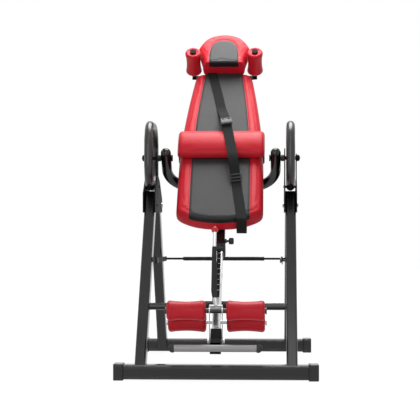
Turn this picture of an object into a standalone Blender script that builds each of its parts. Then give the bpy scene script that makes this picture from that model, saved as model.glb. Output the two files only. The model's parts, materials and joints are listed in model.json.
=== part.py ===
# Folding inversion table: a reclined bed on an A-frame, with an ankle clamp on a sliding boom.
# Metres, +X to the right of someone facing the table, +Y to the rear, +Z up.
import bmesh
import bpy
import math
from mathutils import Matrix, Vector

# Clearances
GAP = 0.0003
FIT = 0.0006
RUN = 0.0015

# A-frame
BASE_LENGTH = 0.700
BASE_TUBE = 0.050
BASE_WALL = 0.002
BASE_CORNER = 0.006
CAP_SIZE = 0.057
CAP_LENGTH = 0.035
FRONT_REACH = 0.460
REAR_REACH = 0.560
LEG_SPACING = 0.518
LEG_WIDTH = 0.038
LEG_DEPTH = 0.060
LEG_WALL = 0.002
LEG_CORNER = 0.006
FRONT_SLOPE = 0.73
REAR_SLOPE = 0.67
FOLD_DROP = 0.175
LEG_RISE = 0.025
FOLD_END = 0.026

# Apex plates, bolts and handrails
PIVOT_HEIGHT = 0.775
PLATE_THICK = 0.004
PLATE_SKIRT = 0.028
SHOULDER_RISE = 0.021
PLATE_OVERLAP = 0.046
PLATE_TAB = 0.036
BOLT_RADIUS = 0.005
HEAD_RADIUS = 0.009
HEAD_HEIGHT = 0.005
PIVOT_RADIUS = 0.007
DOME_RADIUS = 0.012
RAIL_REACH = 0.140
RAIL_DROP = 0.106
RAIL_RISE = 0.120
RAIL_BEND = 0.085
RAIL_TUBE = 0.0125
RAIL_WALL = 0.002
RAIL_FOAM = 0.016
RAIL_SPLIT = 0.020

# Front crossbar with its bumper
CROSSBAR_RADIUS = 0.0125
CROSSBAR_WALL = 0.002
BUMPER_RADIUS = 0.019
BUMPER_LENGTH = 0.146
BUMPER_STATION = -0.600

# Stay between the front and the rear legs
STAY_HEIGHT = 0.390
HOOK_HEIGHT = 0.400
ROD_RADIUS = 0.004
STAY_FOAM = 0.0075
STAY_FOAM_LENGTH = 0.320
ARM_THICK = 0.003
ARM_WIDTH = 0.018
ARM_OFFSET = 0.227
HOOK_LENGTH = 0.030
HOOK_WIDTH = 0.028
HOOK_PIN = 0.004
NOTCH_LEAN = math.radians(25)

# Bed
RECLINE = math.radians(44)
CRADLE_RADIUS = 0.019
CRADLE_WALL = 0.002
CRADLE_HALF = 0.204
CRADLE_FRONT = 0.026
CRADLE_BEND = 0.090
BUSH_RADIUS = 0.012
SLEEVE_SIZE = 0.040
SLEEVE_WALL = 0.002
SLEEVE_DEPTH = 0.110
SLEEVE_LOW = -0.365
SLEEVE_HIGH = 0.430
MOUTH_SIZE = 0.046
MOUTH_LENGTH = 0.030
MOUTH_LIP = 0.013
MOUTH_CORNER = 0.003
MOUNT_WIDTH = 0.120
MOUNT_LENGTH = 0.050
MOUNT_LOW = 0.090
MOUNT_HIGH = 0.205
HOUSING_RADIUS = 0.008
HOUSING_LENGTH = 0.0065
BOARD_THICK = 0.012
BOARD_BACK = 0.084
BOARD_INSET = 0.007
PAD_THICK = 0.056
BACK_LOW = -0.300
BACK_HIGH = 0.505
BACK_TOP_HALF = 0.104
BACK_LOW_HALF = 0.159
BACK_TAPER_START = 0.37
LOW_DROP = 0.055
HIGH_DROP = 0.025
PAD_CROWN = 0.014
LUMBAR_STATION = 0.095
LUMBAR_LENGTH = 0.130
LUMBAR_HEIGHT = 0.048
LUMBAR_WIDTH = 0.323
LUMBAR_TRAVEL = 0.020
BAND_WIDTH = 0.040
BAND_THICK = 0.002
HEAD_LOW = 0.514
HEAD_HIGH = 0.677
HEAD_HALF = 0.092
HEAD_FACE = 0.045
HEAD_THICK = 0.078
HEAD_ARCH = 0.044
HEAD_SAG = 0.005
HEAD_CROWN = 0.012
SHOULDER_STATION = 0.552
SHOULDER_HALF = 0.1225
SHOULDER_RADIUS = 0.0285
SHOULDER_LENGTH = 0.100
SHOULDER_FRONT = 0.050
POST_RADIUS = 0.008
STRAP_LOW = 0.360
STRAP_HIGH = 0.605
ARM_RISE = 0.012
HEAD_BAR = 0.005
HEAD_BAR_WIDTH = 0.040
BELT_WIDTH = 0.037
BELT_THICK = 0.0018
BELT_TOP_X = -0.047
BELT_LOW_X = 0.081
BELT_ROWS = 36
BELT_RAMP = 0.060
BUCKLE_STATION = 0.290
BUCKLE_LENGTH = 0.050
BUCKLE_WIDTH = 0.046
BUCKLE_THICK = 0.012
BUCKLE_CORNER = 0.003

# Boom, foot bar and ankle clamp
BOOM_SIZE = 0.030
BOOM_WALL = 0.002
BOOM_HIGH = 0.020
BOOM_LOW = -0.765
HOLE_PITCH = 0.025
HOLE_COUNT = 7
PIN_STATION = -0.320
PIN_RADIUS = 0.004
KNOB_RADIUS = 0.012
KNOB_LENGTH = 0.018
KNOB_ROUND = 0.003
KNOB_CLEAR = 0.0075
PIN_CLEAR = 0.001
AXLE_STATION = -0.700
AXLE_RADIUS = 0.00725
FRONT_AXLE_RADIUS = 0.009
FRONT_AXLE_LIFT = 0.080
FRONT_AXLE_DROP = 0.017
ROLLER_RADIUS = 0.035
ROLLER_WAIST = 0.003
ROLLER_LENGTH = 0.131
ROLLER_GAP = 0.0715
AXLE_NUT = 0.012
FOOT_STATION = -0.840
FOOT_DEPTH = 0.080
FOOT_RADIUS = 0.0125
FOOT_WALL = 0.002
FOOT_LENGTH = 0.280
FOOT_CAP_RADIUS = 0.0150
FOOT_CAP_LENGTH = 0.020
CLAMP_STATION = -0.782
CLAMP_BOLT = 0.005
BLOCK_WALL = 0.0035
BLOCK_HIGH = -0.745
BLOCK_LOW = -0.815
YOKE_THICK = 0.003
YOKE_WIDTH = 0.022
LEVER_LEAN = math.radians(15)
LEVER_LENGTH = 0.285
LEVER_RADIUS = 0.0065
SOCKET_RADIUS = 0.0105
SOCKET_LENGTH = 0.030
GRIP_RADIUS = 0.0085
GRIP_LOW = 0.040
GRIP_LENGTH = 0.170
GRIP_ROUND = 0.002
BALL_RADIUS = 0.0125

# Placing: the pivot sits so that the object's box is centred on the origin
SIN = math.sin(RECLINE)
COS = math.cos(RECLINE)
FOOT_REACH = FOOT_STATION * SIN + FOOT_DEPTH * COS - FOOT_CAP_RADIUS
PIVOT_Y = -(FOOT_REACH + REAR_REACH + CAP_SIZE / 2) / 2
BASE_HEIGHT = CAP_SIZE / 2
FOLD_HEIGHT = PIVOT_HEIGHT - FOLD_DROP
LEG_TOP = FOLD_HEIGHT + LEG_RISE
PLATE_LOW = FOLD_HEIGHT - PLATE_SKIRT
RAIL_LOW = PIVOT_HEIGHT - RAIL_DROP
RAIL_HIGH = PIVOT_HEIGHT + RAIL_RISE
PLATE_SHOULDER = RAIL_LOW + SHOULDER_RISE
FRONT_Y = PIVOT_Y - FRONT_REACH
REAR_Y = PIVOT_Y + REAR_REACH
LEG_X = LEG_SPACING / 2
LEG_INNER = LEG_X - LEG_WIDTH / 2
LEG_OUTER = LEG_X + LEG_WIDTH / 2
SIDES = (("left", -1), ("right", 1))


def front_leg_y(height):
    return FRONT_Y + FRONT_SLOPE * (height - BASE_HEIGHT)


def rear_leg_y(height):
    return REAR_Y - REAR_SLOPE * (height - BASE_HEIGHT)


# Scene
for old in list(bpy.data.objects):
    bpy.data.objects.remove(old, do_unlink=True)

parts = bpy.data.collections.new("inversion_table")
cutters = bpy.data.collections.new("cutters")
bpy.context.scene.collection.children.link(parts)
bpy.context.scene.collection.children.link(cutters)


def finish(name, colour, roughness, metallic=0.0):
    material = bpy.data.materials.new(name)
    material.use_nodes = True
    shader = material.node_tree.nodes["Principled BSDF"]
    shader.inputs["Base Color"].default_value = (*colour, 1.0)
    shader.inputs["Roughness"].default_value = roughness
    shader.inputs["Metallic"].default_value = metallic
    material.diffuse_color = (*colour, 1.0)
    return material


BLACK_PAINT = finish("black_paint", (0.035, 0.036, 0.038), 0.42)
CHROME = finish("chrome", (0.80, 0.80, 0.82), 0.12, 1.0)
ZINC = finish("zinc", (0.52, 0.53, 0.54), 0.35, 1.0)
BLACK_PLASTIC = finish("black_plastic", (0.025, 0.025, 0.026), 0.5)
BLACK_FOAM = finish("black_foam", (0.03, 0.03, 0.031), 0.8)
RED_VINYL = finish("red_vinyl", (0.62, 0.045, 0.07), 0.45)
RED_FOAM = finish("red_foam", (0.50, 0.05, 0.07), 0.55)
RED_BALL = finish("red_ball", (0.42, 0.012, 0.017), 0.25)
WEBBING = finish("webbing", (0.03, 0.033, 0.035), 0.85)
BOARD_WOOD = finish("board_wood", (0.40, 0.28, 0.17), 0.7)
GREY_PAINT = finish("grey_paint", (0.25, 0.25, 0.26), 0.4, 0.6)


# Helpers
def empty(name, parent=None, place=Matrix()):
    holder = bpy.data.objects.new(name, None)
    parts.objects.link(holder)
    holder.parent = parent
    holder.matrix_basis = place
    return holder


def add_part(name, mesh, material, parent=None, place=Matrix()):
    part = bpy.data.objects.new(name, mesh)
    parts.objects.link(part)
    mesh.materials.clear()
    mesh.materials.append(material)
    part.parent = parent
    part.matrix_basis = place
    return part


def add_tool(name, mesh, parent=None, place=Matrix()):
    tool = bpy.data.objects.new(name, mesh)
    cutters.objects.link(tool)
    tool.parent = parent
    tool.matrix_basis = place
    tool.hide_render = True
    tool.display_type = "WIRE"
    return tool


def combine(part, tool, operation):
    modifier = part.modifiers.new(tool.name, "BOOLEAN")
    modifier.operation = operation
    modifier.solver = "EXACT"
    modifier.object = tool


def cut(part, name, mesh, parent=None, place=Matrix()):
    combine(part, add_tool(name, mesh, parent, place), "DIFFERENCE")


def join(part, name, mesh, parent=None, place=Matrix()):
    combine(part, add_tool(name, mesh, parent, place), "UNION")


def to_mesh(bm, name):
    mesh = bpy.data.meshes.new(name)
    bmesh.ops.recalc_face_normals(bm, faces=bm.faces)
    bm.to_mesh(mesh)
    bm.free()
    return mesh


def smooth(mesh, angle=40):
    mesh.shade_smooth()
    mesh.set_sharp_from_angle(angle=math.radians(angle))
    return mesh


def along(axis):
    return Vector((0, 0, 1)).rotation_difference(Vector(axis)).to_matrix().to_4x4()


def box(name, size, centre=(0, 0, 0), bevel=0.0):
    bm = bmesh.new()
    bmesh.ops.create_cube(bm, size=1, matrix=Matrix.Translation(centre) @ Matrix.Diagonal((*size, 1)))
    if bevel:
        bmesh.ops.bevel(bm, geom=bm.edges, offset=bevel, segments=2, profile=0.5, affect="EDGES")
    return to_mesh(bm, name)


def cylinder(name, radius, length, centre=(0, 0, 0), axis=(1, 0, 0), sides=20):
    bm = bmesh.new()
    place = Matrix.Translation(centre) @ along(axis)
    bmesh.ops.create_cone(bm, cap_ends=True, segments=sides, radius1=radius, radius2=radius,
                          depth=length, matrix=place)
    return smooth(to_mesh(bm, name))


def turned(name, profile, steps, material, parent, place, closed=False):
    bm = bmesh.new()
    corners = [bm.verts.new((radius, 0, height)) for radius, height in profile]
    for first, second in zip(corners, corners[1:]):
        bm.edges.new((first, second))
    if closed:
        bm.edges.new((corners[-1], corners[0]))
    mesh = bpy.data.meshes.new(name)
    bm.to_mesh(mesh)
    bm.free()
    part = add_part(name, mesh, material, parent, place)
    screw = part.modifiers.new("turn", "SCREW")
    screw.steps = steps
    screw.render_steps = steps
    screw.use_merge_vertices = True
    screw.merge_threshold = 0.00005
    screw.use_smooth_shade = True
    return part


def box_tube(name, width, depth, low, high, wall, corner, material, parent=None, place=Matrix()):
    # An open box section along local Z, rounded on its long edges, walled inwards.
    bm = bmesh.new()
    middle = Matrix.Translation((0, 0, (low + high) / 2))
    bmesh.ops.create_cube(bm, size=1, matrix=middle @ Matrix.Diagonal((width, depth, high - low, 1)))
    ends = [face for face in bm.faces if abs(face.normal.z) > 0.5]
    bmesh.ops.delete(bm, geom=ends, context="FACES_ONLY")
    long_edges = [edge for edge in bm.edges if not edge.is_boundary]
    bmesh.ops.bevel(bm, geom=long_edges, offset=corner, segments=2, profile=0.5, affect="EDGES")
    part = add_part(name, smooth(to_mesh(bm, name), 50), material, parent, place)
    skin(part, wall)
    return part


def skin(part, wall):
    shell = part.modifiers.new("wall", "SOLIDIFY")
    shell.thickness = wall
    shell.offset = -1
    shell.use_even_offset = True


def swept(name, points, radius, resolution=3, filled=False):
    # A tube along a poly line, made a mesh with its caps welded.
    curve = bpy.data.curves.new(name, "CURVE")
    curve.dimensions = "3D"
    curve.bevel_depth = radius
    curve.bevel_resolution = resolution
    curve.use_fill_caps = filled
    spline = curve.splines.new("POLY")
    spline.points.add(len(points) - 1)
    for point, place in zip(spline.points, points):
        point.co = (*place, 1)
    holder = bpy.data.objects.new(name, curve)
    parts.objects.link(holder)
    graph = bpy.context.evaluated_depsgraph_get()
    mesh = bpy.data.meshes.new_from_object(holder.evaluated_get(graph))
    bpy.data.objects.remove(holder, do_unlink=True)
    bpy.data.curves.remove(curve)
    bm = bmesh.new()
    bm.from_mesh(mesh)
    bmesh.ops.remove_doubles(bm, verts=bm.verts, dist=0.00001)
    bmesh.ops.recalc_face_normals(bm, faces=bm.faces)
    bm.to_mesh(mesh)
    bm.free()
    return smooth(mesh)


def arc(centre, first, second, start, stop, radius, count):
    # Points on an arc in the plane of two unit vectors.
    for step in range(count + 1):
        angle = start + (stop - start) * step / count
        yield Vector(centre) + radius * (math.cos(angle) * Vector(first) + math.sin(angle) * Vector(second))


def outline(name, points, thickness):
    # A flat plate in the local XY plane, centred on its thickness, from corner points.
    curve = bpy.data.curves.new(name, "CURVE")
    curve.dimensions = "2D"
    curve.fill_mode = "BOTH"
    curve.extrude = thickness / 2
    spline = curve.splines.new("POLY")
    spline.points.add(len(points) - 1)
    for point, (across, up) in zip(spline.points, points):
        point.co = (across, up, 0, 1)
    spline.use_cyclic_u = True
    holder = bpy.data.objects.new(name, curve)
    parts.objects.link(holder)
    graph = bpy.context.evaluated_depsgraph_get()
    mesh = bpy.data.meshes.new_from_object(holder.evaluated_get(graph))
    bpy.data.objects.remove(holder, do_unlink=True)
    bpy.data.curves.remove(curve)
    bm = bmesh.new()
    bm.from_mesh(mesh)
    bmesh.ops.remove_doubles(bm, verts=bm.verts, dist=0.00001)
    bmesh.ops.recalc_face_normals(bm, faces=bm.faces)
    bm.to_mesh(mesh)
    bm.free()
    return mesh


def cage(name, cuts, shape):
    # A cube of -1..1 cut into a grid on each axis and moved point by point into a soft form.
    bm = bmesh.new()
    bmesh.ops.create_cube(bm, size=2)
    for axis, count in enumerate(cuts):
        edges = [e for e in bm.edges if abs((e.verts[0].co - e.verts[1].co)[axis]) > 1e-6]
        bmesh.ops.subdivide_edges(bm, edges=edges, cuts=count, use_grid_fill=True)
    for vert in bm.verts:
        vert.co = Vector(shape(*vert.co))
    return smooth(to_mesh(bm, name), 80)


def soften(part, levels=1):
    surface = part.modifiers.new("soft", "SUBSURF")
    surface.levels = levels
    surface.render_levels = levels


SIDEWAYS = Matrix(((0, 0, 1, 0), (1, 0, 0, 0), (0, 1, 0, 0), (0, 0, 0, 1)))
ALONG_X = along((1, 0, 0))


def bed_place(across, station, lift):
    # World place of a bed point: station towards the head, lift towards the user.
    return Vector((across, PIVOT_Y + station * SIN - lift * COS, PIVOT_HEIGHT + station * COS + lift * SIN))


def ring(inner, outer, half):
    return ((outer, half), (outer, -half), (inner, -half), (inner, half))


# Bases
def base(prefix, y, parent=None):
    centre = Matrix.Translation((0, y, BASE_HEIGHT))
    if parent:
        centre = parent.matrix_world.inverted() @ centre
    end_wall = (CAP_SIZE - BASE_TUBE) / 2
    half = BASE_LENGTH / 2 - end_wall
    box_tube(prefix + "_base_tube", BASE_TUBE, BASE_TUBE, -half, half, BASE_WALL, BASE_CORNER,
             BLACK_PAINT, parent, centre @ ALONG_X)
    pocket = BASE_TUBE + 2 * FIT
    for side, sign in SIDES:
        name = prefix + "_base_cap_" + side
        middle = (sign * (BASE_LENGTH - CAP_LENGTH) / 2, 0, 0)
        body = box(name, (CAP_LENGTH, CAP_SIZE, CAP_SIZE), middle, BASE_CORNER / 2)
        cap = add_part(name, body, BLACK_PLASTIC, parent, centre)
        reach = CAP_LENGTH - end_wall + GAP
        hollow = box(name + "_pocket", (2 * reach, pocket, pocket),
                     (sign * (BASE_LENGTH / 2 - CAP_LENGTH), 0, 0))
        cut(cap, name + "_pocket", hollow, parent, centre)


# Legs: box tubes whose feet are cut to the base they stand on
def leg(name, x, y, slope, high, parent, holes):
    place = Matrix.Translation((x, y, BASE_HEIGHT)) @ Matrix.Rotation(-math.atan(slope), 4, "X")
    back = parent.matrix_world.inverted() if parent else Matrix()
    reach = (high - BASE_HEIGHT) * math.hypot(1, slope)
    part = box_tube(name, LEG_WIDTH, LEG_DEPTH, 0, reach, LEG_WALL, LEG_CORNER,
                    BLACK_PAINT, parent, back @ place)
    saddle = BASE_TUBE + 2 * GAP
    cut(part, name + "_saddle", box(name + "_saddle", (LEG_WIDTH * 2, saddle, saddle)),
        parent, back @ Matrix.Translation((x, y, BASE_HEIGHT)))
    for number, (hole_y, hole_z, radius) in enumerate(holes):
        bore = cylinder(name + "_hole", radius + FIT, LEG_WIDTH * 2)
        cut(part, name + "_hole_%d" % number, bore, parent, back @ Matrix.Translation((x, hole_y, hole_z)))
    return part


FOLD = Vector((0, rear_leg_y(FOLD_HEIGHT), FOLD_HEIGHT))
STUD = Vector((0, front_leg_y(FOLD_HEIGHT), FOLD_HEIGHT))
HOOK = Vector((0, front_leg_y(HOOK_HEIGHT), HOOK_HEIGHT))
STAY = Vector((0, rear_leg_y(STAY_HEIGHT), STAY_HEIGHT))
RAIL_STUD = Vector((0, PIVOT_Y + RAIL_REACH / 2, RAIL_LOW))
STUD_OUT = LEG_OUTER + GAP + PLATE_THICK
PIN_IN = ARM_OFFSET - ARM_THICK / 2 - HEAD_HEIGHT

fold_axis = empty("fold_axis", None, Matrix.Translation(FOLD))
bpy.context.view_layer.update()

base("front", FRONT_Y)
base("rear", REAR_Y, fold_axis)

for side, sign in SIDES:
    holes = ((STUD.y, STUD.z, BOLT_RADIUS),)
    front_leg = leg("front_leg_" + side, sign * LEG_X, FRONT_Y, FRONT_SLOPE, LEG_TOP, None, holes)
    # The hook pin is welded through the leg's inner wall, with a flange that keeps the stay on it.
    shank = LEG_INNER - PIN_IN + LEG_WALL / 2
    pin_place = Matrix.Translation((sign * (PIN_IN + shank / 2), HOOK.y, HOOK.z))
    join(front_leg, "hook_pin_" + side, cylinder("hook_pin", HOOK_PIN, shank, sides=12), None, pin_place)
    flange_place = Matrix.Translation((sign * (PIN_IN + HEAD_HEIGHT / 2 - RUN), HOOK.y, HOOK.z))
    join(front_leg, "hook_flange_" + side, cylinder("hook_flange", HEAD_RADIUS, HEAD_HEIGHT, sides=12),
         None, flange_place)
    holes = ((FOLD.y, FOLD.z, BOLT_RADIUS), (STAY.y, STAY.z, ROD_RADIUS))
    rear_high = FOLD_HEIGHT + FOLD_END / math.hypot(1, REAR_SLOPE)
    leg("rear_leg_" + side, sign * LEG_X, REAR_Y, -REAR_SLOPE, rear_high, fold_axis, holes)

# Front crossbar, set so that the boom lies on its bumper
bar = bed_place(0, BUMPER_STATION, -(SLEEVE_DEPTH + BOOM_SIZE / 2 + BUMPER_RADIUS + RUN))
bar_half = LEG_INNER - GAP
turned("front_crossbar", ring(CROSSBAR_RADIUS - CROSSBAR_WALL, CROSSBAR_RADIUS, bar_half), 20,
       BLACK_PAINT, None, Matrix.Translation(bar) @ ALONG_X, closed=True)
turned("crossbar_bumper", ring(CROSSBAR_RADIUS + GAP, BUMPER_RADIUS, BUMPER_LENGTH / 2), 24,
       BLACK_FOAM, None, Matrix.Translation(bar) @ ALONG_X, closed=True)


# Apex plates: one each side of the legs, holding the pivot, the leg studs and the handrail
def plate_outline(tab):
    front_low = front_leg_y(PLATE_LOW) - PLATE_OVERLAP
    rear_low = rear_leg_y(FOLD_HEIGHT) + PLATE_OVERLAP
    points = [(front_low, PLATE_LOW), (rear_low, PLATE_LOW), (rear_low, FOLD_HEIGHT + PLATE_OVERLAP / 2),
              (PIVOT_Y + RAIL_REACH / 2 + tab, PLATE_SHOULDER), (PIVOT_Y + tab, PLATE_SHOULDER + tab / 2)]
    crown = arc((PIVOT_Y, PIVOT_HEIGHT, 0), (1, 0, 0), (0, 1, 0), 0, math.pi, tab, 8)
    points += [(point.x, point.y) for point in crown]
    points += [(PIVOT_Y - tab, PLATE_SHOULDER + tab / 2), (front_low, PLATE_SHOULDER - PLATE_OVERLAP)]
    return points


for side, sign in SIDES:
    for face, tab in (("inner", PLATE_TAB), ("outer", DOME_RADIUS + PLATE_THICK)):
        name = "apex_plate_" + face + "_" + side
        edge = LEG_INNER - GAP - PLATE_THICK / 2 if face == "inner" else LEG_OUTER + GAP + PLATE_THICK / 2
        place = Matrix.Translation((sign * edge, 0, 0))
        mesh = outline(name, plate_outline(tab), PLATE_THICK)
        mesh.transform(SIDEWAYS)
        plate = add_part(name, mesh, BLACK_PAINT, None, place)
        spots = [(Vector((0, PIVOT_Y, PIVOT_HEIGHT)), PIVOT_RADIUS), (FOLD, BOLT_RADIUS)]
        studs = [(STUD, BOLT_RADIUS), (RAIL_STUD, BOLT_RADIUS)]
        if face == "inner":
            spots += studs
        for number, (spot, radius) in enumerate(spots):
            bore = cylinder(name + "_hole", radius + FIT, PLATE_THICK * 4)
            at_spot = Matrix.Translation((sign * edge, spot.y, spot.z))
            cut(plate, name + "_hole_%d" % number, bore, None, at_spot)
        if face == "outer":
            # Weld studs cross from the outer plate through the inner one.
            inner_end = LEG_INNER - GAP - PLATE_THICK - HEAD_HEIGHT / 2
            for number, (spot, radius) in enumerate(studs):
                length = STUD_OUT + HEAD_HEIGHT / 2 - inner_end
                middle = (sign * (inner_end + length / 2), spot.y, spot.z)
                join(plate, name + "_stud_%d" % number, cylinder("stud", radius, length, sides=12),
                     None, Matrix.Translation(middle))


# Bolts along X: head towards the middle, domed nut outside
def cross_bolt(name, radius, head, inner, outer, sign, y, z, parent=None):
    dome = [(head * math.cos(angle), outer + HEAD_HEIGHT + head * 0.6 * math.sin(angle))
            for angle in (math.radians(step * 22.5) for step in range(4, -1, -1))]
    dome[0] = (0, dome[0][1])
    profile = dome + [(head, outer), (radius, outer), (radius, inner), (head, inner),
                      (head, inner - HEAD_HEIGHT), (0, inner - HEAD_HEIGHT)]
    turn = ALONG_X if sign > 0 else along((-1, 0, 0))
    place = Matrix.Translation((0, y, z)) @ turn
    if parent:
        place = parent.matrix_world.inverted() @ place
    return turned(name, profile, 16, ZINC, parent, place)


PLATE_IN = LEG_INNER - GAP - PLATE_THICK - GAP
PLATE_OUT = LEG_OUTER + GAP + PLATE_THICK + GAP
for side, sign in SIDES:
    cross_bolt("pivot_bolt_" + side, PIVOT_RADIUS, DOME_RADIUS, CRADLE_HALF - CRADLE_RADIUS - GAP,
               PLATE_OUT, sign, PIVOT_Y, PIVOT_HEIGHT)
    cross_bolt("fold_bolt_" + side, BOLT_RADIUS, HEAD_RADIUS, PLATE_IN, PLATE_OUT, sign, FOLD.y, FOLD.z)


# Handrails: closed loops of tube in foam, with the tube's ends meeting between the plates
def rail_path(split, count):
    low, high = RAIL_LOW, RAIL_HIGH
    across, up = (0, 1, 0), (0, 0, 1)
    near, far = PIVOT_Y - RAIL_REACH, PIVOT_Y + RAIL_REACH
    corners = ((far - RAIL_BEND, low + RAIL_BEND, -90), (far - RAIL_BEND, high - RAIL_BEND, 0),
               (near + RAIL_BEND, high - RAIL_BEND, 90), (near + RAIL_BEND, low + RAIL_BEND, 180))
    points = [Vector((0, PIVOT_Y + split, low))]
    for y, z, start in corners:
        points += arc((0, y, z), across, up, math.radians(start), math.radians(start + 90), RAIL_BEND, count)
    points.append(Vector((0, PIVOT_Y - split, low)))
    return points


for side, sign in SIDES:
    place = Matrix.Translation((sign * LEG_X, 0, 0))
    rail = add_part("handrail_tube_" + side, swept("rail", rail_path(RAIL_SPLIT / 2, 4), RAIL_TUBE, 1),
                    BLACK_PAINT, None, place)
    skin(rail, RAIL_WALL)
    foam = add_part("handrail_foam_" + side, swept("foam", rail_path(RAIL_SPLIT, 4), RAIL_FOAM, 2),
                    BLACK_FOAM, None, place)
    skin(foam, RAIL_FOAM - RAIL_TUBE - RUN)
    at_stud = Matrix.Translation((sign * LEG_X, RAIL_STUD.y, RAIL_STUD.z))
    for part in (rail, foam):
        bore = cylinder(part.name + "_hole", BOLT_RADIUS + FIT, RAIL_FOAM * 3)
        cut(part, part.name + "_hole", bore, None, at_stud)

# Stay: a rod in the rear legs with an arm at each end that hooks on the front legs' pins
stay_axis = empty("stay_axis", fold_axis, fold_axis.matrix_world.inverted() @ Matrix.Translation(STAY))
bpy.context.view_layer.update()
reach = HOOK - STAY
arm_turn = math.atan2(reach.z, reach.y)
arm_length = math.hypot(reach.y, reach.z)
stay = add_part("stay_frame", cylinder("stay_rod", ROD_RADIUS, 2 * (LEG_INNER + LEG_WALL * 2), sides=12),
                BLACK_PAINT, stay_axis)
for side, sign in SIDES:
    arm_place = Matrix.Translation((sign * ARM_OFFSET, 0, 0)) @ Matrix.Rotation(arm_turn, 4, "X")
    blade = box("stay_arm", (ARM_THICK, arm_length, ARM_WIDTH), (0, arm_length / 2, 0))
    join(stay, "stay_arm_" + side, blade, stay_axis, arm_place)
    boss = cylinder("stay_boss", ARM_WIDTH / 2, ARM_THICK, sides=16)
    join(stay, "stay_boss_" + side, boss, stay_axis, arm_place)
    head = box("stay_hook", (ARM_THICK, HOOK_LENGTH, HOOK_WIDTH), (0, arm_length, 0))
    join(stay, "stay_hook_" + side, head, stay_axis, arm_place)
    seat = Matrix.Translation((sign * ARM_OFFSET, reach.y, reach.z))
    slot_width = 2 * (HOOK_PIN + RUN)
    seat_bore = cylinder("stay_seat", slot_width / 2, ARM_THICK * 3, sides=16)
    cut(stay, "stay_seat_" + side, seat_bore, stay_axis, seat)
    slot = box("stay_slot", (ARM_THICK * 3, slot_width, HOOK_WIDTH * 2), (0, 0, -HOOK_WIDTH))
    cut(stay, "stay_slot_" + side, slot, stay_axis, seat @ Matrix.Rotation(NOTCH_LEAN, 4, "X"))
turned("stay_sleeve", ring(ROD_RADIUS + GAP, STAY_FOAM, STAY_FOAM_LENGTH / 2), 16, BLACK_FOAM,
       stay_axis, ALONG_X, closed=True)

# Bed: local Z runs towards the head, local -Y towards the user
recline = Matrix.Rotation(-RECLINE, 4, "X")
bed_axis = empty("bed_axis", None, Matrix.Translation(bed_place(0, 0, 0)) @ recline)
BOARD_FRONT = BOARD_BACK - BOARD_THICK
PAD_BACK = BOARD_FRONT - GAP
PAD_FACE = PAD_BACK - PAD_THICK
LUMBAR_BACK = PAD_FACE - GAP * 2
LUMBAR_FACE = LUMBAR_BACK - LUMBAR_HEIGHT
CRADLE_BACK = SLEEVE_DEPTH + SLEEVE_SIZE / 2 + CRADLE_RADIUS + GAP

# Cradle: a U of round tube whose domed ends hang on the pivot bolts
bend_y = CRADLE_BACK - CRADLE_BEND
bend_x = CRADLE_HALF - CRADLE_BEND
path = [Vector((CRADLE_HALF, -CRADLE_FRONT, 0))]
path += arc((bend_x, bend_y, 0), (1, 0, 0), (0, 1, 0), 0, math.pi / 2, CRADLE_BEND, 5)
path += arc((-bend_x, bend_y, 0), (1, 0, 0), (0, 1, 0), math.pi / 2, math.pi, CRADLE_BEND, 5)
path.append(Vector((-CRADLE_HALF, -CRADLE_FRONT, 0)))
cradle = add_part("cradle_tube", swept("cradle_tube", path, CRADLE_RADIUS, 2), BLACK_PAINT, bed_axis)
skin(cradle, CRADLE_WALL)
plug_radius = CRADLE_RADIUS - CRADLE_WALL / 4
for side, sign in SIDES:
    bm = bmesh.new()
    bmesh.ops.create_uvsphere(bm, u_segments=12, v_segments=6, radius=plug_radius)
    end_turn = Matrix.Rotation(math.pi / 2, 4, "X")
    plug_place = Matrix.Translation((sign * CRADLE_HALF, -CRADLE_FRONT, 0)) @ end_turn
    join(cradle, "cradle_plug_" + side, smooth(to_mesh(bm, "cradle_plug")), bed_axis, plug_place)
    bore = cylinder("cradle_bore", PIVOT_RADIUS + FIT, CRADLE_RADIUS * 3)
    cut(cradle, "cradle_bore_" + side, bore, bed_axis, Matrix.Translation((sign * CRADLE_HALF, 0, 0)))
    bush_low = CRADLE_HALF + CRADLE_RADIUS + GAP
    bush_high = LEG_INNER - GAP - PLATE_THICK - GAP
    bush_place = Matrix.Translation((sign * (bush_low + bush_high) / 2, 0, 0)) @ ALONG_X
    turned("pivot_bush_" + side, ring(PIVOT_RADIUS + FIT, BUSH_RADIUS, (bush_high - bush_low) / 2), 20,
           BLACK_PLASTIC, bed_axis, bush_place, closed=True)

# Boom sleeve with its mounting plates and the housing of the height pin
at_sleeve = Matrix.Translation((0, SLEEVE_DEPTH, 0))
sleeve = box_tube("boom_sleeve", SLEEVE_SIZE, SLEEVE_SIZE, SLEEVE_LOW, SLEEVE_HIGH, SLEEVE_WALL,
                  SLEEVE_WALL * 2, BLACK_PAINT, bed_axis, at_sleeve)
sleeve_front = SLEEVE_DEPTH - SLEEVE_SIZE / 2
mount_front = BOARD_BACK + GAP
mount_back = sleeve_front + SLEEVE_WALL / 2
for number, station in enumerate((BACK_LOW + MOUNT_LOW, BACK_HIGH - MOUNT_HIGH)):
    mount = box("sleeve_mount", (MOUNT_WIDTH, mount_back - mount_front, MOUNT_LENGTH),
                (0, (mount_front + mount_back) / 2, station))
    join(sleeve, "sleeve_mount_%d" % number, mount, bed_axis)
housing_x = SLEEVE_SIZE / 2 - SLEEVE_WALL / 2
housing = cylinder("pin_housing", HOUSING_RADIUS, HOUSING_LENGTH + SLEEVE_WALL / 2,
                   (housing_x + (HOUSING_LENGTH + SLEEVE_WALL / 2) / 2, SLEEVE_DEPTH, PIN_STATION), sides=16)
join(sleeve, "pin_housing", housing, bed_axis)
bore_middle = (SLEEVE_SIZE * 0.75, SLEEVE_DEPTH, PIN_STATION)
bore = cylinder("pin_bore", PIN_RADIUS + FIT, SLEEVE_SIZE, bore_middle, sides=16)
cut(sleeve, "pin_bore", bore, bed_axis)

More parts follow.
